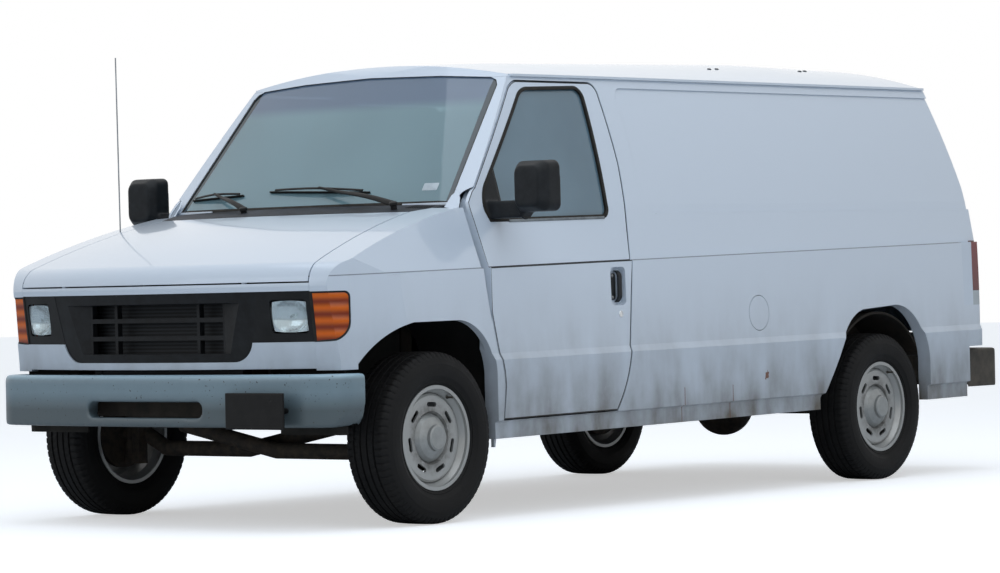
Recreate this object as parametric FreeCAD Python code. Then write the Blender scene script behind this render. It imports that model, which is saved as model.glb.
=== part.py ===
import FreeCAD, Part
import math
import os

os.makedirs("parts", exist_ok=True)

V = FreeCAD.Vector

# Full-size panel van on a ladder frame. Millimetres. X is across, with the driver's side at +X.
# Y is along, with the nose at -Y. Z is up from the ground, and the origin is under mid-length.

# Overall sizes
LENGTH = 5385.0
FRONT_OVERHANG = 760.0
WHEELBASE = 3505.0
BODY_WIDTH = 2014.0
RAKE_DEG = 0.69             # the body rises towards the back
FRONT_AXLE_Y = FRONT_OVERHANG - LENGTH / 2
REAR_AXLE_Y = FRONT_AXLE_Y + WHEELBASE

# Clearances
SEAT = 0.3                  # between parts that lie against each other
PANEL_GAP = 6.0             # shut line round doors and lids
DOOR_BEVEL = 20.0           # how far a door's inner box stands back from its skin's edge
SKIN = 15.0                 # depth of a door's outer flange
WALL = 60.0                 # whole thickness of a side, door or pillar
GLASS = 5.0
GLASS_SET = 9.0             # glass lies this far below the skin

# Body section at the sides: half widths and heights, before the rake
HALF = BODY_WIDTH / 2
ROCKER_IN = 20.0
BODY_BOTTOM = 335.0
ROCKER_TOP = 405.0
LEDGE_LOW = 672.0
LEDGE_HIGH = 700.0
LEDGE_IN = 12.0
BELT_HALF = 985.0
BELT_STEP = 8.0
BELT_FRONT = 1062.0
BELT_REAR = 1125.0
SHOULDER_Z = 1330.0
UPPER_MID_Z = 1610.0
NARROW_END = 1442.0         # the upper body draws in ahead of this place
NARROW_FRONT = 300.0
GUTTER_HALF = 768.0
GUTTER_Z = 1905.0
ROOF_HALF = 752.0
ROOF_EDGE_Z = 1918.0
ROOF_THICK = 35.0
BROW_FRONT = 793.0          # where the roof's brow leaves the windscreen's slope
BROW_LOW_Z = 1936.0
DRIP_OUT = 11.0             # drip rail along the roof's edge
DRIP_TALL = 12.0
DRIP_FRONT = 860.0
SPLIT = 560.0               # half width where the side pressings meet the bulkhead, roof and sill

# Windscreen and nose, measured from the front axle
BOW_RADIUS = 3192.0         # plan bow of the nose and bonnet
NOSE_FRONT = -722.0
NOSE_SWEEP = 64.0           # degrees of the nose's turned surface
SCREEN_RADIUS = 3940.0
SCREEN_BASE = 279.0
SCREEN_BASE_Z = 1349.0
SCREEN_SLOPE = 1.143        # rise over run
SCREEN_THICK = 52.0
SCREEN_GLASS_SET = 10.0     # glass lies this far behind the screen's surface
SEAM_FRONT_HALF = 832.0     # bonnet seams, in plan
SEAM_REAR_HALF = 728.0
LAMP_END = 806.0            # outer edge of the headlamp openings
GRILLE_HALF = 586.0         # grille's half width along the bonnet's lip
SHOULDER_HALF = 545.0       # and at the foot of the lamps
SHOULDER_LOW_Z = 786.0
CHIN_HALF = 450.0
CHIN_Z = 706.0
BARS_HALF = 388.0
DIVIDER_HALF = 238.0
MOUTH_BACK = -678.0         # where the frame's flanks start to slope in to the bars
BARS_FRONT = -640.0
BARS_BACK = -612.0
NOSE_OPEN_LOW = 786.0       # opening for the lamps, in height
NOSE_OPEN_TOP = 995.0
LENS_START = 640.0
LENS_LOW = 822.0
LENS_HIGH = 960.0
BEZEL_BACK = 18.0
BONNET_THICK = 30.0
BONNET_EDGE = 1034.0        # lower edge of the bonnet's lip
WING_THICK = 34.0

# Tail
END = LENGTH - FRONT_OVERHANG
REAR_FACE = END - 227.0
REAR_TOP = REAR_FACE - 130.0
BEHIND = REAR_FACE + 202.0  # clear of the tail

# Side doors
DOOR_FRONT = 343.0
DOOR_REAR = 1442.0
DOOR_BOTTOM = 412.0
DOOR_TOP = 1890.0
CARGO_FRONT = 1500.0
CARGO_SPLIT = 2240.0
CARGO_REAR = 2790.0
CARGO_BOTTOM = 432.0
CARGO_TOP = 1862.0
CORNER = 60.0
LEAF_GAP = 3.0              # added to the shut line where the two cargo leaves meet
STAMP_DEEP = 7.0            # depth of the stamped fields in the side panels

# Front door fittings
HANDLE_FRONT = 1239.0
HANDLE_LOW = 882.0
HANDLE_DEEP = 24.0
SAIL_BACK = 600.0
MIRROR_START = 1056.0       # inner edge of the mirror head

# Fuel flap
FLAP_CENTRE = 2395.0
FLAP_Z = 815.0
FLAP_RADIUS = 84.0
FLAP_RECESS = 26.0

# Rear doors
REAR_DOOR_HALF = 862.0
REAR_DOOR_TOP_HALF = 716.0
REAR_DOOR_BOTTOM = 662.0
REAR_DOOR_TOP = 1862.0
REAR_HINGE_HALF = 905.0

# Hinge barrels outside the cargo and rear doors
BARREL_RADIUS = 9.0
BARREL_LONG = 40.0
HINGE_OUT = 14.0            # rear hinge line behind the rear face
REAR_HINGE_HEIGHTS = (745.0, 1195.0)

# Wheels
TYRE_RADIUS = 362.0
TYRE_WIDTH = 235.0
TREAD_WIDTH = 190.0
BEAD_RADIUS = 212.0
RIM_RADIUS = 221.0
RIM_WIDTH = 190.0
FRONT_TRACK = 1763.0
REAR_TRACK = 1702.0
HUB_Z = TYRE_RADIUS
DISC_OUT = 50.0             # the wheel is bolted up this far outboard of the tyre's middle
DISC_RISE = 17.0            # and its disc stands this much further out round the hub cap
DISC_THICK = 9.0
SLOTS = 7
SLOT_LONG = 62.0
SLOT_WIDE = 20.0
SLOT_CENTRE = 140.0
CAP_RADIUS = 102.0
HUB_RADIUS = 78.0
HUB_FACE = DISC_OUT - DISC_THICK - SEAT
KINGPIN_HALF = 800.0

# Fittings a stranger would use
BUMPER_NOSE = -751.0
BUMPER_BOTTOM = 430.0
BUMPER_TOP = 648.0
GROOVE_Z = 535.0
BALL_HOLE_RADIUS = 13.0
BALL_HOLE_BACK = 75.0
BUMPER_PLATE = 8.0
PLATE_HOLE_RADIUS = 3.5
PLATE_HOLE_SPACING = 178.0
PLATE_CENTRE = 640.0
PLATE_FRONT = -FRONT_OVERHANG
PLATE_HOLE_Z = 545.0
STEP_Z = 600.0

# Frame and floor
RAIL_HALF = 430.0
RAIL_WIDE = 72.0
RAIL_TALL = 150.0
FLOOR_Z = 620.0
FLOOR_THICK = 30.0
RAIL_FRONT = -600.0
RAIL_REAR = END - 185.0
FLOOR_FRONT = 335.0
HOUSE_RADIUS = 470.0
HOUSE_HALF = 640.0
HOUSE_THICK = 12.0

# Cab
SEAT_HALF = 480.0
CUSHION_Z = 860.0
COLUMN_X = 480.0
COLUMN_DEG = 40.0           # the steering column's climb towards the driver
COLUMN_AXIS = V(0, math.cos(math.radians(COLUMN_DEG)), math.sin(math.radians(COLUMN_DEG)))
WHEEL_CENTRE = V(COLUMN_X, FRONT_AXLE_Y + 800, 1190)

# Wheel arch openings
ARCH_TOP = 850.0
LINER_OUT = 30.0            # the liner stands back this far from the opening's edge
LINER_THICK = 12.0
BODY_GROW = 45.0            # and the body's inner wall this far

BIG = 3000.0


def fy(offset):
    """Y of a place given by its distance behind the front axle."""
    return FRONT_AXLE_Y + offset


def raked(shape):
    """Tilts a body piece about the front axle, so that the body rises to the back."""
    turned = shape.copy()
    turned.rotate(V(0, FRONT_AXLE_Y, 0), V(1, 0, 0), RAKE_DEG)
    return turned


def box(x0, x1, y0, y1, z0, z1):
    return Part.makeBox(x1 - x0, y1 - y0, z1 - z0, V(x0, y0, z0))


def mirrored(shape):
    return shape.mirror(V(0, 0, 0), V(1, 0, 0))


def wire(points):
    """Closed wire. A point is (u, v), or (u, v, "arc") where an arc passes through it."""
    edges = []
    spots = [V(p[0], p[1], 0) for p in points]
    count = len(points)
    i = 0
    while i < count:
        a = spots[i]
        b = spots[(i + 1) % count]
        if len(points[(i + 1) % count]) == 3:
            c = spots[(i + 2) % count]
            edges.append(Part.Arc(a, b, c).toShape())
            i += 2
        else:
            edges.append(Part.LineSegment(a, b).toShape())
            i += 1
    return Part.Wire(edges)


def to_side(flat):
    """Stands a flat (u, v) shape up in the Y-Z plane, u measured from the front axle."""
    m = FreeCAD.Matrix(0, 0, 1, 0, 1, 0, 0, FRONT_AXLE_Y, 0, 1, 0, 0, 0, 0, 0, 1)
    moved = flat.copy()
    moved.transformShape(m)
    return moved


def to_front(flat, y=0.0):
    """Stands a flat (u, v) shape up in the X-Z plane at y."""
    m = FreeCAD.Matrix(1, 0, 0, 0, 0, 0, -1, y, 0, 1, 0, 0, 0, 0, 0, 1)
    moved = flat.copy()
    moved.transformShape(m)
    return moved


def offset_wire(flat, amount):
    if abs(amount) < 1e-6:
        return flat
    return flat.makeOffset2D(amount)


def side_prism(points, x0, x1, grow=0.0):
    """Prism along X over an outline in the side view."""
    face = to_side(Part.Face(offset_wire(wire(points), grow)))
    face.translate(V(x0, 0, 0))
    return face.extrude(V(x1 - x0, 0, 0))


def front_prism(points, y0, y1, grow=0.0):
    """Prism along Y over an outline in the front view."""
    face = to_front(Part.Face(offset_wire(wire(points), grow)), y0)
    return face.extrude(V(0, y1 - y0, 0))


def plan_prism(points, z0, z1):
    """Prism along Z over an outline in plan, v measured from the front axle."""
    face = Part.Face(wire(points))
    face.translate(V(0, FRONT_AXLE_Y, z0))
    return face.extrude(V(0, 0, z1 - z0))


def both_halves(half):
    """Outline completed by the mirror image of its right half."""
    return half + [(-p[0],) + tuple(p[1:]) for p in reversed(half)]


def rounded(x0, y0, x1, y1, r):
    """Outline of a rectangle with round corners."""
    k = r * (1 - math.sqrt(0.5))
    return [(x0 + r, y0), (x1 - r, y0), (x1 - k, y0 + k, "arc"), (x1, y0 + r),
            (x1, y1 - r), (x1 - k, y1 - k, "arc"), (x1 - r, y1),
            (x0 + r, y1), (x0 + k, y1 - k, "arc"), (x0, y1 - r),
            (x0, y0 + r), (x0 + k, y0 + k, "arc")]


def turned_about_x(points, cx, cy, cz):
    """Solid of revolution about an axis along X. Points are (x, radius)."""
    pts = [V(cx + p[0], cy, cz + p[1]) for p in points]
    face = Part.Face(Part.makePolygon(pts + [pts[0]]))
    return face.revolve(V(cx, cy, cz), V(1, 0, 0), 360)


def cyl_x(x0, x1, y, z, r):
    return Part.makeCylinder(r, x1 - x0, V(x0, y, z), V(1, 0, 0))


def cyl_z(x, y, z0, z1, r):
    return Part.makeCylinder(r, z1 - z0, V(x, y, z0), V(0, 0, 1))


def rod(a, b, r):
    d = b - a
    return Part.makeCylinder(r, d.Length, a, d)


def one(shape):
    """Largest solid of a cut, where slivers may be left beside it."""
    return max(shape.Solids, key=lambda s: s.Volume)


# Body surfaces

# Stations of the upper body: place behind the front axle, then half widths at the shoulder, the
# middle, the gutter and the roof's edge, and the height of the roof's crown
UPPER = (
    (NARROW_FRONT, 880.0, 809.0, 728.0, 712.0, 1960.0),
    (NARROW_END, 937.0, 868.0, GUTTER_HALF, ROOF_HALF, 2013.0),
    (3360.0, 937.0, 868.0, GUTTER_HALF, ROOF_HALF, 2054.0),
    (REAR_FACE + 102.0, 937.0, 868.0, GUTTER_HALF, ROOF_HALF, 2040.0),
)


def upper_section(inset, station, bottom):
    """Outline across the body above the ledge, below the skin by inset."""
    lean = inset * 1.03
    belt = BELT_HALF - BELT_STEP - inset
    low = HALF - LEDGE_IN - inset if inset > 0 else belt
    drop = ROOF_THICK if inset > SKIN else inset
    shoulder, mid, gutter = (half - lean for half in station[1:4])
    roof_side = station[4] - inset
    crown = station[5] - drop
    edge = ROOF_EDGE_Z - drop / 3
    return [(-low, bottom), (low, bottom), (low, LEDGE_HIGH), (belt, BELT_FRONT), (shoulder, SHOULDER_Z),
            (mid, UPPER_MID_Z, "arc"), (gutter, GUTTER_Z), (roof_side, edge),
            (0, crown, "arc"), (-roof_side, edge), (-gutter, GUTTER_Z),
            (-mid, UPPER_MID_Z, "arc"), (-shoulder, SHOULDER_Z), (-belt, BELT_FRONT), (-low, LEDGE_HIGH)]


def section_run(inset, bottom, start, stop):
    """Upper body from start to stop, narrow at the nose, with a roof that climbs to the back."""
    block = front_prism(upper_section(inset, UPPER[0], bottom), fy(start), fy(NARROW_FRONT))
    for near, far in zip(UPPER[:-1], UPPER[1:]):
        if near[0] >= stop:
            break
        reach = min(stop, far[0])
        share = (reach - near[0]) / (far[0] - near[0])
        front = upper_section(inset, near, bottom)
        back = [(a[0] + (b[0] - a[0]) * share, a[1] + (b[1] - a[1]) * share) + tuple(a[2:])
                for a, b in zip(front, upper_section(inset, far, bottom))]
        ends = [to_front(wire(front), fy(near[0])), to_front(wire(back), fy(reach))]
        block = block.fuse(Part.makeLoft(ends, True, True))
    return block.removeSplitter()


def body_block(inset=0.0, screened=True):
    """The closed body from the firewall to the tail, drawn below the skin by inset."""
    bottom = BODY_BOTTOM if inset > 0 else BODY_BOTTOM + 1
    block = section_run(inset, bottom, 0, REAR_FACE + 102)
    if inset == 0:
        lower = [(-HALF + ROCKER_IN, BODY_BOTTOM), (HALF - ROCKER_IN, BODY_BOTTOM),
                 (HALF - ROCKER_IN, ROCKER_TOP), (HALF, ROCKER_TOP + 8), (HALF, LEDGE_LOW),
                 (HALF - LEDGE_IN, LEDGE_HIGH), (BELT_HALF, BELT_REAR),
                 (-BELT_HALF, BELT_REAR), (-HALF + LEDGE_IN, LEDGE_HIGH), (-HALF, LEDGE_LOW),
                 (-HALF, ROCKER_TOP + 8), (-HALF + ROCKER_IN, ROCKER_TOP)]
        above = [(0, BELT_FRONT), (BEHIND, BELT_REAR), (BEHIND, 1400), (0, 1400)]
        lower_block = front_prism(lower, fy(0), fy(REAR_FACE + 102)).cut(side_prism(above, -BIG, BIG))
        block = block.fuse(lower_block).removeSplitter()
    tail = REAR_FACE - inset
    profile = [(0, 200), (tail - 12, 200), (tail, 700), (tail + 8, 1060, "arc"), (tail - 10, 1400),
               (REAR_TOP - inset, GUTTER_Z), (REAR_TOP - inset - 26, 1985, "arc"),
               (REAR_TOP - inset - 110, 2080), (0, 2080)]
    block = block.common(side_prism(profile, -BIG, BIG))
    if screened:
        block = block.common(screen_block(inset)).common(brow_block(inset))
    return block


def brow_block(inset):
    """Everything below the rounded brow where the windscreen's slope runs into the roof."""
    lower = [(-2000, 0), (-2000, BROW_LOW_Z), (BROW_FRONT, BROW_LOW_Z),
             (BROW_FRONT + 44, BROW_LOW_Z + 38, "arc"), (BROW_FRONT + 130, BROW_LOW_Z + 60),
             (1700, 2100), (6000, 2100), (6000, 0)]
    drop = ROOF_THICK if inset > SKIN else inset
    return side_prism([(p[0], p[1] - drop) + tuple(p[2:]) for p in lower], -BIG, BIG)


def screen_block(inset=0.0):
    """Everything behind the windscreen's surface, or behind a surface inset from it."""
    back = SCREEN_BASE + inset * (SCREEN_THICK / WALL) * 1.33
    half = 1300.0
    sag = SCREEN_RADIUS - math.sqrt(SCREEN_RADIUS ** 2 - half ** 2)
    outline = [(-half, back + sag), (0, back, "arc"), (half, back + sag), (half, 6000), (-half, 6000)]
    low = Part.Face(wire(outline))
    low.translate(V(0, FRONT_AXLE_Y, SCREEN_BASE_Z))
    rise = 1000.0
    upper = low.extrude(V(0, rise / SCREEN_SLOPE, rise))
    lower = low.extrude(V(0, -60, -1200))
    return upper.fuse(lower)


def nose_block(inset=0.0):
    """Wings, bonnet and front face as one block: a profile turned about the bow's centre."""
    centre = NOSE_FRONT + BOW_RADIUS
    # Profile of the nose: distance behind its foremost point, and height
    profile = [(60, 300), (38, 704), (4, 985), (0, 1015), (10, 1062, "arc"), (62, 1112),
               (350, 1209, "arc"), (1010, 1352), (1180, 1352), (1180, 300)]
    pts = [(p[0] + inset, p[1] - (inset if p[1] > 1050 else 0)) + tuple(p[2:]) for p in profile]
    flat = [(BOW_RADIUS - p[0],) + tuple(p[1:]) for p in pts]
    face = to_front(Part.Face(wire(flat)), 0)
    swept = face.revolve(V(0, 0, 0), V(0, 0, 1), NOSE_SWEEP)
    swept.rotate(V(0, 0, 0), V(0, 0, 1), -90 - NOSE_SWEEP / 2)
    swept.translate(V(0, fy(centre), 0))
    sides = section_run(inset, 300, -800, 460)
    if inset == 0:
        lower = [(-HALF + ROCKER_IN, BODY_BOTTOM), (HALF - ROCKER_IN, BODY_BOTTOM),
                 (HALF - ROCKER_IN, ROCKER_TOP), (HALF, ROCKER_TOP + 8), (HALF, LEDGE_LOW),
                 (HALF - LEDGE_IN, LEDGE_HIGH), (BELT_HALF, BELT_REAR),
                 (-BELT_HALF, BELT_REAR), (-HALF + LEDGE_IN, LEDGE_HIGH), (-HALF, LEDGE_LOW),
                 (-HALF, ROCKER_TOP + 8), (-HALF + ROCKER_IN, ROCKER_TOP)]
        above = [(-800, BELT_FRONT - 40), (0, BELT_FRONT), (460, BELT_FRONT + 7), (460, 1400), (-800, 1400)]
        sides = sides.fuse(front_prism(lower, fy(-800), fy(460)).cut(side_prism(above, -BIG, BIG)))
    # Plan outline: the corners round back into sides that widen to the doors
    k = inset
    corner = [(-HALF + k, 460), (-HALF + k, -60), (-952 + k, -500), (-910 + k, -588 + k, "arc"),
              (-800, -760 + k), (800, -760 + k), (910 - k, -588 + k, "arc"), (952 - k, -500),
              (HALF - k, -60), (HALF - k, 460)]
    return swept.common(sides).common(plan_prism(corner, 300, 1500))


def arch_outline(grow=0.0):
    """Front wheel opening in the side view."""
    g = grow
    return [(388 + g, 200), (388 + g, 590), (330 + g, 765 + g, "arc"), (140, ARCH_TOP + g),
            (-140, ARCH_TOP + g), (-300 - g, 802 + g, "arc"), (-462 - g, 690 + g), (-462 - g, 200)]


def rear_arch_outline(grow=0.0):
    """Rear wheel opening in the side view."""
    g = grow
    c = WHEELBASE
    return [(c - 600 - g, 200), (c - 600 - g, 391), (c - 505 - g, 505, "arc"), (c - 445 - g, 585),
            (c - 379 - g, 687), (c - 305 - g, 765 + g, "arc"), (c - 205, 806 + g), (c + 55, 818 + g),
            (c + 215 + g, 790 + g, "arc"), (c + 325 + g, 690), (c + 370 + g, 600, "arc"),
            (c + 380 + g, 500), (c + 380 + g, 200)]


def door_outline():
    """Front door opening in the side view."""
    return [(DOOR_FRONT + 80, DOOR_BOTTOM), (DOOR_REAR - 202, DOOR_BOTTOM),
            (DOOR_REAR - 117, 545, "arc"), (DOOR_REAR - 72, 710), (DOOR_REAR - 22, 1170, "arc"),
            (DOOR_REAR + 8, 1520), (DOOR_REAR, DOOR_TOP - 60), (DOOR_REAR - 16, DOOR_TOP - 17, "arc"),
            (DOOR_REAR - 60, DOOR_TOP), (DOOR_FRONT + 540, DOOR_TOP),
            (DOOR_FRONT + 505, DOOR_TOP - 13, "arc"), (DOOR_FRONT + 470, DOOR_TOP - 38),
            (DOOR_FRONT + 95, 1418), (DOOR_FRONT + 20, 1335, "arc"),
            (DOOR_FRONT, 1250), (DOOR_FRONT, 1070), (DOOR_FRONT + 37, 860, "arc"),
            (DOOR_FRONT + 92, 620), (DOOR_FRONT + 97, 560)]


def window_outline():
    """Window of the front door in the side view."""
    return [(DOOR_FRONT + 145, 1270), (DOOR_REAR - 170, 1280), (DOOR_REAR - 146, 1300, "arc"),
            (DOOR_REAR - 142, 1330), (DOOR_REAR - 118, 1815), (DOOR_REAR - 132, 1848, "arc"),
            (DOOR_REAR - 165, 1862), (DOOR_FRONT + 600, 1852), (DOOR_FRONT + 555, 1838, "arc"),
            (DOOR_FRONT + 520, 1808), (DOOR_FRONT + 165, 1420), (DOOR_FRONT + 140, 1370, "arc"),
            (DOOR_FRONT + 135, 1310)]


def screen_outline():
    """Windscreen opening in the front view."""
    return [(-795, 1352), (795, 1352), (722, 1868), (704, 1892), (670, 1906), (400, 1924), (0, 1934),
            (-400, 1924), (-670, 1906), (-704, 1892), (-722, 1868)]


SHELL = body_block(0)
BAND = SHELL.cut(body_block(WALL))
MIDDLE_OPEN = body_block(SKIN, False)
OUTER_LAYER = SHELL.cut(MIDDLE_OPEN)
INNER_LAYER = SHELL.common(MIDDLE_OPEN).cut(body_block(WALL, False))
GLASS_LAYER = SHELL.common(body_block(GLASS_SET, False)).cut(body_block(GLASS_SET + GLASS, False))
NOSE = nose_block(0)
NOSE_IN = nose_block(WING_THICK)


def cargo_outline(front, rear):
    return rounded(front, CARGO_BOTTOM, rear, CARGO_TOP, CORNER)


def rear_door_outline():
    """Opening of the two rear doors in the rear view."""
    r = CORNER
    low = REAR_DOOR_BOTTOM
    top = REAR_DOOR_TOP_HALF
    return both_halves([(REAR_DOOR_HALF - r, low), (REAR_DOOR_HALF - r * 0.3, low + r * 0.3, "arc"),
                        (REAR_DOOR_HALF, low + r), (REAR_DOOR_HALF, 1100), (top, REAR_DOOR_TOP - r),
                        (top - r * 0.35, REAR_DOOR_TOP - r * 0.25, "arc"), (top - r, REAR_DOOR_TOP)])


def rear_door_half(inset):
    """Outline of the left rear door, drawn in from its opening."""
    g = PANEL_GAP + inset
    r = CORNER
    edge = REAR_DOOR_HALF - g
    top = REAR_DOOR_TOP_HALF - g
    return [(PANEL_GAP / 2 + inset, REAR_DOOR_BOTTOM + g), (edge - r, REAR_DOOR_BOTTOM + g),
            (edge - r * 0.3, REAR_DOOR_BOTTOM + g + r * 0.3, "arc"), (edge, REAR_DOOR_BOTTOM + g + r),
            (edge, 1100), (top, REAR_DOOR_TOP - g - r), (top - r * 0.35, REAR_DOOR_TOP - g - r * 0.25, "arc"),
            (top - r, REAR_DOOR_TOP - g), (PANEL_GAP / 2 + inset, REAR_DOOR_TOP - g)]


def body_sides():
    """Side walls with their pillars, from behind the wing to the tail corner."""
    under_gutter = [(0, 300), (BEHIND, 300), (BEHIND, GUTTER_Z), (0, GUTTER_Z)]
    left = BAND.common(side_prism(under_gutter, SPLIT, 1200))
    left = left.cut(side_prism(arch_outline(), 500, 1200))
    left = left.cut(side_prism(arch_outline(BODY_GROW), 500, 935))
    left = left.cut(side_prism(rear_arch_outline(), 500, 1200))
    left = left.cut(box(0, 1200, fy(REAR_TOP), fy(BEHIND), 200, 590))
    left = left.cut(side_prism(door_outline(), 500, 1200))
    left = left.cut(front_prism(screen_outline(), fy(0), fy(1300)))
    left = left.cut(front_prism(rear_door_outline(), fy(REAR_TOP - 160), fy(BEHIND)))
    behind_wing = wing_rear_outline(-SEAT)
    left = left.cut(NOSE.cut(nose_block(WING_THICK + SEAT)).common(side_prism(behind_wing, 500, 1200)))
    left = one(left)
    for lug in rear_hinges()[1]:
        left = left.fuse(lug)
    left = one(left)
    right = mirrored(left)
    # Stamped recess of the plain side, open towards the tail
    recess = [(BEHIND, 1290), (BEHIND, 1865), (1620, 1865), (1582, 1850, "arc"), (1565, 1810), (1572, 1370),
              (1600, 1305, "arc"), (1670, 1290)]
    left = left.cut(SHELL.cut(body_block(STAMP_DEEP)).common(side_prism(recess, 600, 1200)))
    flap = cyl_x(HALF - 110, HALF + 90, fy(FLAP_CENTRE), FLAP_Z, FLAP_RADIUS)
    left = left.cut(flap.common(SHELL.cut(body_block(FLAP_RECESS))))
    right = right.cut(side_prism(cargo_outline(CARGO_FRONT, CARGO_REAR), -1200, -500))
    start = CARGO_REAR + 90
    recess = [(BEHIND, 1290), (BEHIND, 1865), (start + 55, 1865), (start + 17, 1850, "arc"), (start, 1810),
              (start + 7, 1370), (start + 35, 1305, "arc"), (start + 105, 1290)]
    right = right.cut(SHELL.cut(body_block(STAMP_DEEP)).common(side_prism(recess, -1200, -600)))
    return one(left), one(right)


def wing_rear_outline(grow):
    """The wing's area in the side view: it runs back to the front door's edge."""
    g = grow
    return [(-900, 250), (388, 250), (DOOR_FRONT + 73 - g, 405), (DOOR_FRONT + 91 - g, 560),
            (DOOR_FRONT + 86 - g, 620),
            (DOOR_FRONT + 31 - g, 860, "arc"), (DOOR_FRONT - 6 - g, 1070), (DOOR_FRONT - 6 - g, 1326 - g),
            (DOOR_FRONT - 60, 1326 - g), (-900, 1500)]


def wings():
    shell = NOSE.cut(NOSE_IN)
    left = shell.common(side_prism(wing_rear_outline(0), 300, 1200))
    left = left.cut(side_prism(arch_outline(), 500, 1200))
    seam = plan_prism([(-1200, -900), (SEAM_FRONT_HALF, -900), (SEAM_FRONT_HALF, NOSE_FRONT + 110),
                       (SEAM_REAR_HALF, 170), (SEAM_REAR_HALF + 70, 330), (SEAM_REAR_HALF + 70, 600),
                       (-1200, 600)], 200, 1600)
    left = one(left.cut(seam))
    left = left.cut(box(600, 1200, fy(-900), fy(-455), 200, 668))
    left = one(left.cut(side_prism(turn_outline(), SPLIT, HALF + 100)))
    return left, mirrored(left)


def bonnet():
    shell = NOSE.cut(nose_block(BONNET_THICK))
    g = PANEL_GAP
    area = plan_prism([(-SEAM_FRONT_HALF + g, -900), (SEAM_FRONT_HALF - g, -900),
                       (SEAM_FRONT_HALF - g, NOSE_FRONT + 110), (SEAM_REAR_HALF - g, 166),
                       (0, 70, "arc"), (-SEAM_REAR_HALF + g, 166), (-SEAM_FRONT_HALF + g, NOSE_FRONT + 110)],
                      BONNET_EDGE, 1600)
    return one(shell.common(area))


def cowl():
    """Panel and air intake between the bonnet and the windscreen, over the firewall."""
    shell = NOSE.cut(nose_block(BONNET_THICK))
    area = plan_prism([(-SEAM_REAR_HALF, 172), (0, 76, "arc"), (SEAM_REAR_HALF, 172),
                       (SEAM_REAR_HALF + 66, 330), (SEAM_REAR_HALF + 66, 460),
                       (-SEAM_REAR_HALF - 66, 460), (-SEAM_REAR_HALF - 66, 330)], 1000, 1600)
    return one(shell.common(area).cut(screen_block(-SEAT)))


def firewall():
    """Bulkhead between the engine bay and the cab, up to the foot of the windscreen."""
    area = side_prism([(0, FLOOR_Z), (700, FLOOR_Z), (700, 1330), (0, 1330)], -SPLIT + SEAT, SPLIT - SEAT)
    return one(BAND.common(area))


def rear_sill():
    """Crosspiece under the rear doors, behind the floor."""
    start = REAR_FACE - 198
    area = side_prism([(start, FLOOR_Z - 42), (BEHIND, FLOOR_Z - 42), (BEHIND, REAR_DOOR_BOTTOM),
                       (start, REAR_DOOR_BOTTOM)], -SPLIT + SEAT, SPLIT - SEAT)
    return one(BAND.common(area))


def grille_outline(grow=0.0):
    """Grille's outer edge in the front view, with its chin dipping below the lamps."""
    g = grow
    return both_halves([(CHIN_HALF, CHIN_Z - g), (CHIN_HALF + 52 + g, CHIN_Z + 16 - g, "arc"),
                        (SHOULDER_HALF + g, SHOULDER_LOW_Z), (GRILLE_HALF + g, NOSE_OPEN_TOP + g)])


def seam_area(grow=0.0):
    """Area in plan between the seams where the wings meet the bonnet and the front panel."""
    front = SEAM_FRONT_HALF + grow
    rear = SEAM_REAR_HALF + grow
    corner = NOSE_FRONT + 110
    return [(-front, -900), (front, -900), (front, corner), (rear, 170), (-rear, 170), (-front, corner)]


def front_panel():
    """White panel round the grille and lamps, below the bonnet's lip."""
    shell = NOSE.cut(NOSE_IN)
    edge = SEAM_FRONT_HALF - 1
    area = front_prism([(-edge, 676), (edge, 676), (edge, 1028), (-edge, 1028)], fy(-900), fy(-500))
    panel = shell.common(area).common(plan_prism(seam_area(), 200, 1600))
    panel = panel.cut(front_prism(grille_outline(), fy(-900), fy(-500)))
    lamps = nose_block(0).cut(nose_block(BEZEL_BACK))
    panel = panel.cut(lamps.common(box(-HALF, HALF, fy(-900), fy(-400), NOSE_OPEN_LOW, NOSE_OPEN_TOP)))
    panel = one(panel.cut(box(-LAMP_END, LAMP_END, fy(-900), fy(-400), NOSE_OPEN_LOW, NOSE_OPEN_TOP)))
    for s in (1, -1):
        panel = panel.fuse(cyl_z(s * 520, fy(NOSE_FRONT + 62), 1010, BONNET_EDGE - SEAT, 11))
    return one(panel)


def grille():
    """Plastic grille: a broad frame whose shoulders slope back to two bars and two dividers."""
    block = nose_block(6.0).cut(nose_block(140.0))
    piece = block.common(front_prism(grille_outline(-SEAT), fy(-900), fy(BARS_BACK)))
    mouth = [(-505, 742), (505, 742), (532, 952), (-532, 952)]
    bars = [(-BARS_HALF, 742), (BARS_HALF, 742), (BARS_HALF, 948), (-BARS_HALF, 948)]
    piece = piece.cut(front_prism(mouth, fy(-900), fy(MOUTH_BACK)))
    ends = [to_front(wire(mouth), fy(MOUTH_BACK - 0.1)), to_front(wire(bars), fy(BARS_FRONT))]
    piece = piece.cut(Part.makeLoft(ends, True, True))
    rows = ((742, 798), (817, 873), (892, 948))
    columns = ((-BARS_HALF + 10, -DIVIDER_HALF - 8), (-DIVIDER_HALF + 8, DIVIDER_HALF - 8),
               (DIVIDER_HALF + 8, BARS_HALF - 10))
    for low, high in rows:
        for start, stop in columns:
            piece = piece.cut(box(start, stop, fy(-900), fy(-500), low, high))
    return one(piece)


def lens_outline(grow=0.0):
    return rounded(LENS_START - grow, LENS_LOW - grow, LAMP_END + grow, LENS_HIGH + grow, 16)


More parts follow.
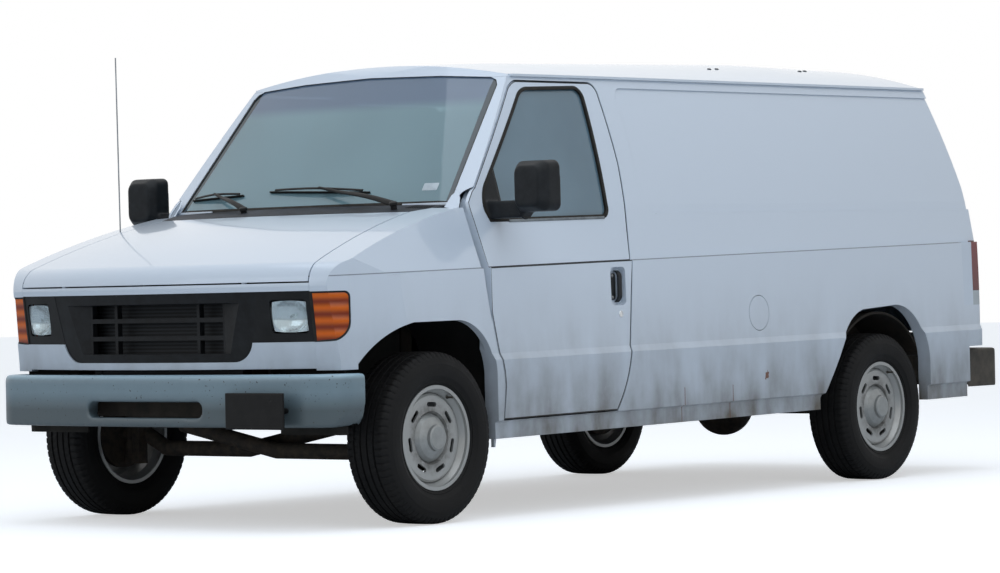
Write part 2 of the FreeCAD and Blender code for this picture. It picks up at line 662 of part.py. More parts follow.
def lamp_bezels():
    """Dark plastic plates round the headlamps, from the grille to the turn lamps."""
    layer = nose_block(5.0).cut(nose_block(BEZEL_BACK - SEAT))
    area = box(SHOULDER_HALF - 20, SEAM_FRONT_HALF, fy(-900), fy(-400),
               NOSE_OPEN_LOW + SEAT, NOSE_OPEN_TOP - SEAT)
    piece = layer.common(area).common(plan_prism(seam_area(-SEAT), 200, 1600))
    piece = piece.cut(front_prism(grille_outline(SEAT), fy(-900), fy(-400)))
    left = one(piece.cut(front_prism(lens_outline(), fy(-900), fy(-400))))
    return Part.makeCompound([left, mirrored(left)])


def headlamps():
    layer = nose_block(8.0).cut(nose_block(64.0))
    left = one(layer.common(front_prism(lens_outline(-SEAT), fy(-900), fy(-400))))
    return Part.makeCompound([left, mirrored(left)])


def turn_outline(grow=0.0):
    """Turn lamp's rounded end in the side view."""
    g = grow
    return [(-900, 785 - g), (-585 + g, 785 - g), (-522 + g, 808 - g, "arc"), (-494 + g, 868),
            (-494 + g, 966 + g), (-502 + g, 984 + g, "arc"), (-520 + g, 992 + g), (-900, 992 + g)]


def turn_lamps():
    layer = nose_block(4.0).cut(nose_block(60.0))
    area = side_prism(turn_outline(-SEAT), SEAM_FRONT_HALF + SEAT, HALF + 100)
    left = one(layer.common(area))
    return Part.makeCompound([left, mirrored(left)])


def radiator():
    """Radiator and its end tanks, behind the grille and on the frame's front crossmember."""
    core = box(-390, 390, fy(BARS_BACK + 25), fy(BARS_BACK + 70), FLOOR_Z, 985)
    tank = box(-430, -390, fy(BARS_BACK + 20), fy(BARS_BACK + 75), FLOOR_Z + 20, 960)
    return one(core.fuse(tank).fuse(mirrored(tank)))


def wheel_liners():
    """Inner wings: an upright panel beside the engine and a curved house over each front wheel."""
    house = side_prism(arch_outline(LINER_OUT + LINER_THICK), SPLIT + SEAT, 935 - SEAT)
    house = house.cut(side_prism(arch_outline(LINER_OUT), 500, 1200))
    house = house.common(box(0, 1200, fy(-900), fy(900), 400, 1200)).common(nose_block(WING_THICK + SEAT))
    panel = box(SPLIT - LINER_THICK, SPLIT + SEAT + 5, fy(-560), fy(270), 480, 962)
    foot = box(RAIL_HALF + RAIL_WIDE / 2 + SEAT, SPLIT - 5, fy(-430), fy(-390), 500, 512)
    liner = raked(house.fuse(panel)).fuse(foot)
    left = one(liner.fuse(box(RAIL_HALF + RAIL_WIDE / 2 + SEAT, SPLIT - 5, fy(100), fy(140), 500, 512)))
    return Part.makeCompound([left, mirrored(left)])


def roof():
    over = [(0, GUTTER_Z + SEAT), (BEHIND, GUTTER_Z + SEAT), (BEHIND, 2200), (0, 2200)]
    shell = BAND.common(side_prism(over, -BIG, BIG))
    shell = shell.cut(front_prism(screen_outline(), fy(0), fy(1300)))
    header = box(-SPLIT + SEAT, SPLIT - SEAT, fy(REAR_TOP - 260), fy(BEHIND), REAR_DOOR_TOP, GUTTER_Z + SEAT)
    shell = shell.fuse(BAND.common(header)).removeSplitter()
    share = (DRIP_FRONT - NARROW_FRONT) / (NARROW_END - NARROW_FRONT)
    front = UPPER[0][3] + (GUTTER_HALF - UPPER[0][3]) * share
    edge = [(front, DRIP_FRONT), (GUTTER_HALF, NARROW_END), (GUTTER_HALF, REAR_TOP - 8)]
    rail = plan_prism([(x - 12, y) for x, y in edge] + [(x + DRIP_OUT, y) for x, y in reversed(edge)],
                      GUTTER_Z + SEAT, GUTTER_Z + DRIP_TALL)
    return one(shell.fuse(rail).fuse(mirrored(rail)))


def front_doors():
    outline = door_outline()
    skin = OUTER_LAYER.common(side_prism(outline, 500, 1200, -PANEL_GAP))
    inner = INNER_LAYER.common(side_prism(outline, 500, 1200, -PANEL_GAP - DOOR_BEVEL))
    door = skin.fuse(inner).removeSplitter()
    door = door.cut(side_prism(window_outline(), 500, 1200))
    pocket = rounded(HANDLE_FRONT, HANDLE_LOW, HANDLE_FRONT + 110, HANDLE_LOW + 170, 22)
    door = one(door.cut(SHELL.cut(body_block(HANDLE_DEEP)).common(side_prism(pocket, 500, 1200))))
    pane = side_prism(window_outline(), 500, 1200, -SEAT)
    glass = one(GLASS_LAYER.common(pane).cut(side_prism(sail_outline(SEAT), 500, 1200)))
    return door, glass


def sail_outline(grow=0.0):
    """Corner of the front door's window that the mirror's plate fills."""
    g = grow
    return [(300, 1200), (SAIL_BACK + g, 1200), (SAIL_BACK - 12 + g, 1560), (300, 1560)]


def cargo_door(front, rear):
    """One leaf of the passenger's side, with a plain stamped field where a window could be."""
    outline = cargo_outline(front, rear)
    skin = OUTER_LAYER.common(side_prism(outline, -1200, -500, -PANEL_GAP / 2))
    inner = INNER_LAYER.common(side_prism(outline, -1200, -500, -PANEL_GAP / 2 - DOOR_BEVEL))
    leaf = skin.fuse(inner).removeSplitter()
    field = rounded(front + 90, SHOULDER_Z + 40, rear - 90, CARGO_TOP - 70, 70)
    return one(leaf.cut(SHELL.cut(body_block(STAMP_DEEP)).common(side_prism(field, -1200, -500))))


def rear_doors():
    skin = OUTER_LAYER.common(front_prism(rear_door_half(0), fy(REAR_TOP - 160), fy(BEHIND)))
    inner = INNER_LAYER.common(front_prism(rear_door_half(DOOR_BEVEL), fy(REAR_TOP - 160), fy(BEHIND)))
    door = one(skin.fuse(inner).removeSplitter())
    pane = rounded(150, 1290, 640, 1740, 50)
    door = one(door.cut(front_prism(pane, fy(REAR_TOP - 160), fy(BEHIND))))
    for leaf in rear_hinges()[0]:
        door = door.fuse(leaf)
    door = one(door)
    glass = one(GLASS_LAYER.common(front_prism(pane, fy(REAR_TOP - 160), fy(BEHIND), -SEAT)))
    return door, glass


def rear_hinges():
    """Strap hinges of the left rear door: pieces of the door, then of the body's corner post."""
    x = REAR_HINGE_HALF
    place = REAR_FACE + HINGE_OUT
    r = BARREL_RADIUS
    door = []
    post = []
    for z in REAR_HINGE_HEIGHTS:
        low = z - BARREL_LONG / 2
        high = z + BARREL_LONG / 2
        strap = box(x - 105, x, fy(place - 3), fy(place + 5), low, high)
        foot = box(x - 105, x - 80, fy(place - 24), fy(place + 5), low, high)
        door.append(cyl_z(x, fy(place), low, high, r).fuse(strap).fuse(foot))
        for start in (low - SEAT - BARREL_LONG / 2, high + SEAT):
            end = start + BARREL_LONG / 2
            lug = box(x - 6, x + 12, fy(place - 24), fy(place), start, end)
            post.append(cyl_z(x, fy(place), start, end, r).fuse(lug))
    return door, post


def fuel_flap():
    flap = cyl_x(HALF - 110, HALF + 90, fy(FLAP_CENTRE), FLAP_Z, FLAP_RADIUS - 3)
    start = fy(FLAP_CENTRE - FLAP_RADIUS + 8)
    arm = box(HALF - 110, HALF + 90, start, start + 14, FLAP_Z - 14, FLAP_Z + 14)
    arm = arm.common(SHELL.cut(body_block(FLAP_RECESS - SEAT)))
    return one(flap.common(SHELL.cut(body_block(12.0))).fuse(arm))


def windscreen():
    """Bent glass, cut from a tube whose axis climbs with the windscreen's slope."""
    climb = math.atan(SCREEN_SLOPE)
    radius = SCREEN_RADIUS / math.sin(climb)
    half = 1000.0
    sag = radius - math.sqrt(radius ** 2 - half ** 2)
    face = SCREEN_GLASS_SET * math.sin(climb)
    back = face + GLASS
    section = Part.Face(wire([(-half, face + sag), (0, face, "arc"), (half, face + sag),
                              (half, back + sag), (0, back, "arc"), (-half, back + sag)]))
    section.rotate(V(0, 0, 0), V(1, 0, 0), math.degrees(climb) - 90)
    axis = V(0, math.cos(climb), math.sin(climb))
    section.translate(V(0, fy(SCREEN_BASE), SCREEN_BASE_Z) - axis * 300)
    return one(section.extrude(axis * 1400).common(front_prism(screen_outline(), fy(0), fy(1300), -SEAT)))


def tail_lamps():
    block = box(880, 1000, fy(REAR_FACE - 148), fy(BEHIND), 800, 1128)
    left = one(SHELL.cut(body_block(40)).common(block))
    return left


# Wheels

def tyre(cx, cy):
    half = TYRE_WIDTH / 2
    tread = TREAD_WIDTH / 2
    seat = RIM_WIDTH / 2 - 6 - SEAT
    points = [(-seat, BEAD_RADIUS), (-seat, RIM_RADIUS + SEAT), (-half, 272), (-half + 2, 306),
              (-tread - 8, TYRE_RADIUS - 14), (-tread + 8, TYRE_RADIUS - 2), (-40, TYRE_RADIUS),
              (40, TYRE_RADIUS), (tread - 8, TYRE_RADIUS - 2), (tread + 8, TYRE_RADIUS - 14),
              (half - 2, 306), (half, 272), (seat, RIM_RADIUS + SEAT), (seat, BEAD_RADIUS),
              (seat - 14, BEAD_RADIUS), (half - 18, 275), (tread - 6, TYRE_RADIUS - 24),
              (-tread + 6, TYRE_RADIUS - 24), (-half + 18, 275), (-seat + 14, BEAD_RADIUS)]
    return turned_about_x(points, cx, cy, HUB_Z)


def rim(side, cx, cy):
    """Pressed steel wheel: a barrel, a disc with oblong openings and a domed hub cap."""
    s = side
    half = RIM_WIDTH / 2
    bead = BEAD_RADIUS - SEAT
    barrel = [(-half, RIM_RADIUS), (-half, bead - 6), (-half + 14, bead - 6), (-half + 40, bead - 22),
              (half - 40, bead - 22), (half - 14, bead - 6), (half, bead - 6), (half, RIM_RADIUS),
              (half - 6, RIM_RADIUS), (half - 6, bead), (half - 12, bead), (half - 36, bead - 14),
              (-half + 36, bead - 14), (-half + 12, bead), (-half + 6, bead), (-half + 6, RIM_RADIUS)]
    wheel = turned_about_x(barrel, cx, cy, HUB_Z)
    t = DISC_THICK
    d = DISC_OUT
    face = d + DISC_RISE
    disc = [(d - 12, bead - 20), (face - 8, 186), (face - 1, 177), (face, 112), (d, 103), (d, 45),
            (d - t, 45), (d - t, 107), (face - t, 117), (face - 1 - t, 171), (face - 8 - t, 178),
            (d - 12 - t, bead - 20)]
    plate = turned_about_x([(s * p[0], p[1]) for p in disc], cx, cy, HUB_Z)
    start, stop = sorted((cx + s * 20, cx + s * 90))
    straight = SLOT_LONG / 2 - SLOT_WIDE / 2
    cut = box(start, stop, cy - straight, cy + straight, HUB_Z + SLOT_CENTRE - SLOT_WIDE / 2,
              HUB_Z + SLOT_CENTRE + SLOT_WIDE / 2)
    for end in (-straight, straight):
        cut = cut.fuse(cyl_x(start, stop, cy + end, HUB_Z + SLOT_CENTRE, SLOT_WIDE / 2))
    slots = []
    for i in range(SLOTS):
        slot = cut.copy()
        slot.rotate(V(cx, cy, HUB_Z), V(1, 0, 0), (i - 0.05) * 360.0 / SLOTS)
        slots.append(slot)
    wheel = wheel.fuse(plate.cut(slots))
    r = CAP_RADIUS
    cap = [(d, 0), (d, r), (d + 6, r - 1), (d + 24, r - 15), (d + 34, r - 32), (d + 40, r - 46),
           (d + 53, r - 48), (d + 57, r - 55), (d + 57, 0)]
    return one(wheel.fuse(turned_about_x([(s * p[0], p[1]) for p in cap], cx, cy, HUB_Z)))


def knuckle(side):
    """Steering knuckle with its spindle and brake disc."""
    s = side
    y = FRONT_AXLE_Y
    wheel_x = s * FRONT_TRACK / 2
    pin = s * KINGPIN_HALF
    post = cyl_z(pin, y, HUB_Z - 95, HUB_Z + 95, 24)
    low, high = sorted((pin, wheel_x + s * HUB_FACE))
    spindle = cyl_x(low, high, y, HUB_Z, 30)
    low, high = sorted((wheel_x + s * 6, wheel_x + s * HUB_FACE))
    spindle = spindle.fuse(cyl_x(low, high, y, HUB_Z, HUB_RADIUS))
    low, high = sorted((pin + s * 40, pin + s * 62))
    disc = cyl_x(low, high, y, HUB_Z, 150)
    return one(post.fuse(spindle).fuse(disc))


def front_axle():
    """Two forged beams that cross under the engine, each hung from the far frame rail."""
    beams = []
    for s, dy in ((1, -45), (-1, 45)):
        y = FRONT_AXLE_Y + dy
        pin = s * KINGPIN_HALF
        section = 34
        path = [V(-s * RAIL_HALF, y, 410), V(s * 120, y, 300), V(s * 620, y, 300),
                V(s * (KINGPIN_HALF - 60), y, HUB_Z)]
        beam = None
        for a, b in zip(path[:-1], path[1:]):
            piece = rod(a, b, section)
            piece = piece.fuse(Part.makeSphere(section, b))
            beam = piece if beam is None else beam.fuse(piece)
        x0 = -s * RAIL_HALF - 20
        hanger = box(x0, x0 + 40, y - 24, y + 24, 410, FLOOR_Z - RAIL_TALL - SEAT)
        beam = beam.fuse(hanger)
        x0, x1 = sorted((pin - s * 76, pin - s * 34))
        yoke = box(x0, x1, FRONT_AXLE_Y - 28, FRONT_AXLE_Y + 28, HUB_Z - 130, HUB_Z + 130)
        for z in (HUB_Z + 95 + SEAT, HUB_Z - 130):
            a, b = sorted((pin - s * 50, pin + s * 14))
            yoke = yoke.fuse(box(a, b, FRONT_AXLE_Y - 28, FRONT_AXLE_Y + 28, z, z + 35 - SEAT))
        beams.append(one(beam.fuse(yoke)))
    return Part.makeCompound(beams)


def rear_axle():
    """Live axle with its casing and leaf springs."""
    y = REAR_AXLE_Y
    end = REAR_TRACK / 2 + HUB_FACE
    tube = cyl_x(-end, end, y, HUB_Z, 38)
    flange = cyl_x(end - 20, end, y, HUB_Z, HUB_RADIUS)
    tube = tube.fuse(flange).fuse(mirrored(flange))
    casing = Part.makeSphere(150, V(0, y, HUB_Z))
    drums = cyl_x(REAR_TRACK / 2 - 70, REAR_TRACK / 2 - 10, y, HUB_Z, 155)
    axle = tube.fuse(casing).fuse(drums).fuse(mirrored(drums))
    nose = Part.makeCylinder(60, 260, V(0, y - 320, HUB_Z + 8), V(0, 1, 0))
    axle = axle.fuse(nose)
    for s in (1, -1):
        x = s * 545
        spring = side_prism([(WHEELBASE - 640, 455), (WHEELBASE, 395, "arc"), (WHEELBASE + 640, 470),
                             (WHEELBASE + 640, 500), (WHEELBASE, 430, "arc"), (WHEELBASE - 640, 485)],
                            x - 32, x + 32)
        near = s * (RAIL_HALF + RAIL_WIDE / 2 + SEAT)
        x0, x1 = sorted((near, x + s * 44))
        hangers = box(x0, x1, fy(WHEELBASE - 668), fy(WHEELBASE - 622), 450, FLOOR_Z - 20)
        shackle = box(x0, x1, fy(WHEELBASE + 622), fy(WHEELBASE + 668), 460, FLOOR_Z - 20)
        axle = axle.fuse(spring).fuse(hangers).fuse(shackle)
    return one(axle)


# Frame, floor and what hangs below

def chassis():
    rails = None
    for s in (1, -1):
        x = s * RAIL_HALF
        rail = box(x - RAIL_WIDE / 2, x + RAIL_WIDE / 2, fy(RAIL_FRONT), fy(RAIL_REAR),
                   FLOOR_Z - RAIL_TALL, FLOOR_Z - SEAT)
        rails = rail if rails is None else rails.fuse(rail)
    for place, deep in ((-560, 150), (700, 60), (1500, 60), (2350, 60), (4080, 60), (RAIL_REAR - 40, 60)):
        start = fy(place - 40)
        rails = rails.fuse(box(-RAIL_HALF, RAIL_HALF, start, start + 80, FLOOR_Z - deep, FLOOR_Z - SEAT))
    outside = RAIL_HALF + RAIL_WIDE / 2
    cradle = box(-outside, outside, fy(-350), fy(-250), FLOOR_Z - RAIL_TALL - 60, FLOOR_Z - RAIL_TALL)
    return one(rails.fuse(cradle))


def floor_pan():
    half = HALF - LEDGE_IN - WALL - SEAT
    pan = box(-half, half, fy(FLOOR_FRONT), fy(REAR_FACE - WALL - 14), FLOOR_Z, FLOOR_Z + FLOOR_THICK)
    for s in (1, -1):
        x0, x1 = sorted((s * HOUSE_HALF, s * half))
        outer = cyl_x(x0, x1, REAR_AXLE_Y, HUB_Z, HOUSE_RADIUS)
        a, b = sorted((s * (HOUSE_HALF + HOUSE_THICK), s * (half + 5)))
        inner = cyl_x(a, b, REAR_AXLE_Y, HUB_Z, HOUSE_RADIUS - HOUSE_THICK)
        over = box(-BIG, BIG, -BIG, BIG, FLOOR_Z, 2000)
        pan = pan.fuse(outer.common(over)).cut(inner)
    pan = pan.common(raked(screen_block(WALL + 12))).cut(raked(side_prism(arch_outline(BODY_GROW), 500, 940)))
    return one(pan.cut(mirrored(raked(side_prism(arch_outline(BODY_GROW), 500, 940)))).removeSplitter())


def fuel_tank():
    edge = RAIL_HALF - RAIL_WIDE / 2 - SEAT
    return box(-edge, -60, fy(1560), fy(2300), 330, FLOOR_Z - SEAT)


def propeller_shaft():
    return rod(V(0, fy(1090 + 2), 470), V(0, REAR_AXLE_Y - 325, HUB_Z + 8), 42)


def exhaust():
    pipe = rod(V(250, fy(900), 410), V(250, fy(2800), 410), 27)
    silencer = Part.makeCylinder(95, 620, V(250, fy(1600), 410), V(0, 1, 0))
    system = pipe.fuse(silencer)
    for place in (1640, 2160, 2700):
        system = system.fuse(box(242, 258, fy(place), fy(place + 30), 420, FLOOR_Z - SEAT))
    return one(system)


def engine():
    seat = FLOOR_Z - RAIL_TALL + SEAT
    block = box(-280, 280, fy(-440), fy(200), seat, 1040)
    return one(block.fuse(box(-100, 100, fy(200), fy(1090), seat - 80, FLOOR_Z - 70)))


def seat_frames():
    """Pressed pedestals that carry the two front seats."""
    parts = []
    for s in (1, -1):
        x = s * SEAT_HALF
        low = FLOOR_Z + FLOOR_THICK + SEAT
        stand = box(x - 190, x + 190, fy(1010), fy(1400), low, CUSHION_Z - SEAT)
        parts.append(stand.cut(box(x - 150, x + 150, fy(900), fy(1500), low - 5, CUSHION_Z - 60)))
    return Part.makeCompound(parts)


def seats():
    """High-backed front seats: a cushion and a back that leans a little."""
    parts = []
    for s in (1, -1):
        x = s * SEAT_HALF
        low = CUSHION_Z
        cushion = side_prism([(975, low), (1450, low), (1470, low + 95), (1200, low + 108, "arc"),
                              (985, low + 118), (955, low + 60, "arc")], x - 255, x + 255)
        back = side_prism([(1400, low + 60), (1520, low + 60), (1650, 1480), (1665, 1630),
                           (1630, 1655, "arc"), (1590, 1630), (1560, 1480)], x - 240, x + 240)
        shoulder = front_prism(both_halves([(240, 800), (235, 1340), (215, 1440, "arc"), (140, 1500),
                                            (120, 1630), (90, 1660, "arc"), (40, 1665)]), fy(1300), fy(1800))
        shoulder.translate(V(x, 0, 0))
        parts.append(one(cushion.fuse(back.common(shoulder))))
    return Part.makeCompound(parts)


def dashboard():
    """Dash moulding with a hooded cluster before the driver, and the engine's cover between the seats."""
    top = side_prism([(FLOOR_FRONT + 30, 950), (520, 950), (640, 1060), (650, 1120), (600, 1230),
                      (FLOOR_FRONT + 30, 1270)], -800, 800)
    hood = side_prism([(FLOOR_FRONT + 100, 1200), (620, 1200), (640, 1290), (560, 1315, "arc"),
                       (FLOOR_FRONT + 100, 1300)], COLUMN_X - 210, COLUMN_X + 210)
    cover = box(-250, 250, fy(FLOOR_FRONT + 30), fy(900), FLOOR_Z + FLOOR_THICK + SEAT, 1000)
    column = rod(WHEEL_CENTRE, WHEEL_CENTRE - COLUMN_AXIS * 330, 24 + SEAT)
    return one(top.fuse(hood).fuse(cover).common(raked(screen_block(WALL + 12))).cut(column))


def steering_wheel():
    """Wheel on its column: rim, three spokes and a padded boss, square to the column."""
    ring = Part.makeTorus(185, 14)
    wheel = ring.fuse(Part.makeCylinder(62, 34, V(0, 0, -20)))
    for turn in (0, 180, 270):
        spoke = box(30, 184, -17, 17, -10, 2)
        spoke.rotate(V(0, 0, 0), V(0, 0, 1), turn)
        wheel = wheel.fuse(spoke)
    wheel.rotate(V(0, 0, 0), V(1, 0, 0), -90 + COLUMN_DEG)
    wheel.translate(WHEEL_CENTRE)
    return one(wheel.fuse(rod(WHEEL_CENTRE, WHEEL_CENTRE - COLUMN_AXIS * 310, 24)))


def bumper_outline(inset=0.0):
    """Front bumper in plan, its outer face drawn in by inset."""
    k = inset
    corner = (930 - k * 0.8, -640 + k * 0.6, "arc")
    return [(-985 + k, -455), (-985 + k, -520), (-corner[0],) + corner[1:], (-830 + k * 0.4, -684 + k),
            (0, BUMPER_NOSE + k, "arc"), (830 - k * 0.4, -684 + k), corner, (985 - k, -520), (985 - k, -455),
            (940, -455), (900, -590, "arc"), (800, -630), (0, -690, "arc"), (-800, -630), (-900, -590, "arc"),
            (-940, -455)]


def front_bumper():
    """Deep bumper with a groove along its middle, a cooling slot and an edge that rolls over at the top."""
    lip = []
    for inset, height in ((0, BUMPER_TOP - 14), (12, BUMPER_TOP)):
        flat = wire(bumper_outline(inset))
        flat.translate(V(0, FRONT_AXLE_Y, height))
        lip.append(flat)
    bumper = plan_prism(bumper_outline(), BUMPER_BOTTOM, BUMPER_TOP - 14).fuse(Part.makeLoft(lip, True, True))
    ends = both_halves([(945, BUMPER_BOTTOM), (972, 470), (986, 535), (986, BUMPER_TOP + 1)])
    bumper = bumper.common(front_prism(ends, fy(-900), fy(-400)))
    low = GROOVE_Z - 4
    high = GROOVE_Z + 4
    bumper = bumper.cut(plan_prism(bumper_outline(), low, high).cut(plan_prism(bumper_outline(8), low, high)))
    bumper = bumper.cut(front_prism(rounded(-330, GROOVE_Z - 66, 330, GROOVE_Z, 30), fy(-900), fy(-500)))
    for s in (1, -1):
        x = s * RAIL_HALF
        bumper = bumper.fuse(box(x - 30, x + 30, fy(-705), fy(RAIL_FRONT - SEAT), 480, 600))
    return one(bumper)


def rear_bumper():
    """Plate bumper folded round the tail, with a step pressed into its middle."""
    t = BUMPER_PLATE
    side = END - 85
    start = END - 355
    outer = plan_prism([(-985, start), (-985, side), (-950, END - 30, "arc"), (-880, END - 8),
                        (0, END, "arc"), (880, END - 8), (950, END - 30, "arc"), (985, side), (985, start),
                        (950, start), (950, RAIL_REAR + 10), (-950, RAIL_REAR + 10), (-950, start)], 428, 628)
    inner = plan_prism([(-985 + t, start - 70), (-985 + t, side), (-950 + t, END - 30 - t, "arc"),
                        (-880 + t, END - 8 - t), (0, END - t, "arc"), (880 - t, END - 8 - t),
                        (950 - t, END - 30 - t, "arc"), (985 - t, side), (985 - t, start - 70)],
                       400, STEP_Z - t)
    step = box(-300, 300, fy(RAIL_REAR + 30), fy(END + 50), STEP_Z, 700)
    bumper = outer.cut(step).cut(inner)
    for s in (1, -1):
        x = s * RAIL_HALF
        bumper = bumper.fuse(box(x - 30, x + 30, fy(RAIL_REAR + SEAT), fy(END - 20), 480, STEP_Z - t))
    hole = cyl_z(0, fy(END - BALL_HOLE_BACK), 500, 700, BALL_HOLE_RADIUS)
    return one(bumper.cut(hole))


def plate_bracket():
    """Blank bracket for a number plate, with the plate's two screw holes."""
    bracket = box(PLATE_CENTRE - 160, PLATE_CENTRE + 160, fy(PLATE_FRONT), fy(PLATE_FRONT + 10), 425, 575)
    for s in (1, -1):
        start = V(PLATE_CENTRE + s * PLATE_HOLE_SPACING / 2, fy(PLATE_FRONT - 10), PLATE_HOLE_Z)
        hole = Part.makeCylinder(PLATE_HOLE_RADIUS, 40, start, V(0, 1, 0))
        bracket = bracket.cut(hole)
        spacer = Part.makeCylinder(12, 100, V(PLATE_CENTRE + s * 120, fy(PLATE_FRONT + 10), 500), V(0, 1, 0))
        bracket = bracket.fuse(spacer)
    return one(bracket.cut(front_bumper()))


def mirror():
    """Door mirror: plate in the window's corner, a stub arm and a deep head."""
    start = MIRROR_START
    plate = SHELL.cut(body_block(GLASS_SET + GLASS + 6)).common(side_prism(sail_outline(), 500, 1200))
    plate = plate.common(side_prism(window_outline(), 500, 1200, -SEAT))
    arm = front_prism(rounded(860, 1276, start + 34, 1352, 26), fy(492), fy(566)).cut(body_block(GLASS_SET))
    rear = to_front(wire(rounded(start, 1300, start + 180, 1520, 30)), fy(570))
    mid = to_front(wire(rounded(start, 1300, start + 176, 1518, 34)), fy(490))
    nose = to_front(wire(rounded(start + 22, 1322, start + 150, 1494, 34)), fy(446))
    head = Part.makeLoft([rear, mid], True, True).fuse(Part.makeLoft([mid, nose], True, True))
    return one(plate.fuse(arm).fuse(head))


def wipers():
    parts = []
    for pivot, tip in ((620, 80), (-120, -660)):
        base = V(pivot, fy(235), 1376)
        end = V(tip, fy(300), 1440)
        post = Part.makeCylinder(16, 110, base - V(0, 0, 110), V(0, 0, 1))
        parts.append(rod(base, end, 8).fuse(post).cut(NOSE))
    return Part.makeCompound([one(p) for p in parts])


def aerial():
    mast = Part.makeCylinder(3, 850, V(-805, fy(-20), 1200), V(0, 0, 1))
    foot = Part.makeCylinder(14, 60, V(-805, fy(-20), 1200), V(0, 0, 1))
    return one(mast.fuse(foot).cut(NOSE))


def build():
    nodes = {}
    left_side, right_side = body_sides()
    left_wing, right_wing = wings()
    door, door_glass = front_doors()
    rear_door, rear_glass = rear_doors()
    lamp = tail_lamps()
    left_mirror = mirror()
    body = {
        "body_side_left": left_side.cut(lamp),
        "body_side_right": right_side.cut(mirrored(lamp)),
        "roof_panel": roof(),
        "windscreen_glass": windscreen(),
        "cowl_panel": cowl(),
        "firewall": firewall(),
        "rear_sill": rear_sill(),
        "left_wing": left_wing,
        "right_wing": right_wing,
        "bonnet": bonnet(),
        "front_panel": front_panel(),
        "grille": grille(),
        "lamp_bezels": lamp_bezels(),
        "headlamps": headlamps(),
        "turn_lamps": turn_lamps(),
        "left_door": door,
        "right_door": mirrored(door),
        "left_door_glass": door_glass,
        "right_door_glass": mirrored(door_glass),
        "left_mirror": left_mirror,
        "right_mirror": mirrored(left_mirror),
        "side_door_front": cargo_door(CARGO_FRONT, CARGO_SPLIT - LEAF_GAP / 2),
        "side_door_rear": cargo_door(CARGO_SPLIT + LEAF_GAP / 2, CARGO_REAR),
        "rear_door_left": rear_door,
        "rear_door_right": mirrored(rear_door),
        "rear_glass_left": rear_glass,
        "rear_glass_right": mirrored(rear_glass),
        "fuel_flap": fuel_flap(),
        "tail_lamps": Part.makeCompound([lamp, mirrored(lamp)]),
        "wipers": wipers(),
        "aerial": aerial(),
    }
    for name, shape in body.items():
        nodes[name] = raked(shape)
    nodes["chassis_frame"] = chassis()
    nodes["floor_pan"] = floor_pan()
    nodes["front_bumper"] = front_bumper()
    nodes["rear_bumper"] = rear_bumper()
    nodes["plate_bracket"] = plate_bracket()
    nodes["fuel_tank"] = fuel_tank()
    nodes["propeller_shaft"] = propeller_shaft()
    nodes["exhaust"] = exhaust()
    nodes["engine_block"] = engine()
    nodes["radiator"] = radiator()
    nodes["wheel_liners"] = wheel_liners()
    nodes["seat_frames"] = seat_frames()
    nodes["seats"] = seats()
    nodes["dashboard"] = dashboard()
    nodes["steering_wheel"] = steering_wheel()
    nodes["front_axle"] = front_axle()
    nodes["rear_axle"] = rear_axle()
    for name, side in (("left", 1), ("right", -1)):
        nodes[name + "_knuckle"] = knuckle(side)
        for end, track, y in (("front", FRONT_TRACK, FRONT_AXLE_Y), ("rear", REAR_TRACK, REAR_AXLE_Y)):
            nodes[end + "_" + name + "_tyre"] = tyre(side * track / 2, y)
            nodes[end + "_" + name + "_wheel"] = rim(side, side * track / 2, y)
    return nodes


NODES = build()
for node, shape in NODES.items():
    shape.exportStep("parts/" + node + ".step")
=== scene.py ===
import math

import bmesh
import bpy
from mathutils import Matrix, Vector
from mathutils.bvhtree import BVHTree


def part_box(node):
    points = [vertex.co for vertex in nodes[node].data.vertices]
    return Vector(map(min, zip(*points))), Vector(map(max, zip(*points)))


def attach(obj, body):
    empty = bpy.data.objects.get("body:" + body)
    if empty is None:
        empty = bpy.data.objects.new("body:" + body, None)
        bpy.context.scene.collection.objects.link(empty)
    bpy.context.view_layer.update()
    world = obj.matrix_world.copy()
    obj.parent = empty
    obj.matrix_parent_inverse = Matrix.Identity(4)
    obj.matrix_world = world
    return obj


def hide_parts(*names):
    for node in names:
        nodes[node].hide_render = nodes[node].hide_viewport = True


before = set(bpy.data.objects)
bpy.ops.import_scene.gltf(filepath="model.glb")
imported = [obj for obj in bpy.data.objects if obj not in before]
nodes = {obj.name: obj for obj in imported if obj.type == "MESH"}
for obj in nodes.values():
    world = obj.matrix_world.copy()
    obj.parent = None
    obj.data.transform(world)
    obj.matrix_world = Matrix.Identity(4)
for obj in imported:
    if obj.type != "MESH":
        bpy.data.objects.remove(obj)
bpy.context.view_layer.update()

SIDES = (("left", 1), ("right", -1))

# Viewpoint. The photograph was taken from the driver's side, ahead of the nose, at about waist
# height with a long lens.
EYE = Vector((10.5449, -13.5748, 0.970))
YAW = math.radians(38.3599)
PITCH = math.radians(0.0744)
ROLL = math.radians(-1.1565)
SENSOR = 36.0
LENS = SENSOR * 3.60217

ahead = Vector((-math.sin(YAW) * math.cos(PITCH), math.cos(YAW) * math.cos(PITCH), math.sin(PITCH)))
level = Vector((math.cos(YAW), math.sin(YAW), 0.0))
upright = level.cross(ahead)
across = level * math.cos(ROLL) + upright * math.sin(ROLL)
above = upright * math.cos(ROLL) - level * math.sin(ROLL)
camera_data = bpy.data.cameras.new("camera")
camera_data.lens = LENS
camera_data.sensor_width = SENSOR
camera_data.sensor_fit = "HORIZONTAL"
camera_data.clip_end = 200.0
camera = bpy.data.objects.new("camera", camera_data)
camera.matrix_world = Matrix.Translation(EYE) @ Matrix((across, above, -ahead)).transposed().to_4x4()
bpy.context.scene.collection.objects.link(camera)
bpy.context.scene.camera = camera
bpy.context.scene.view_settings.view_transform = "Standard"


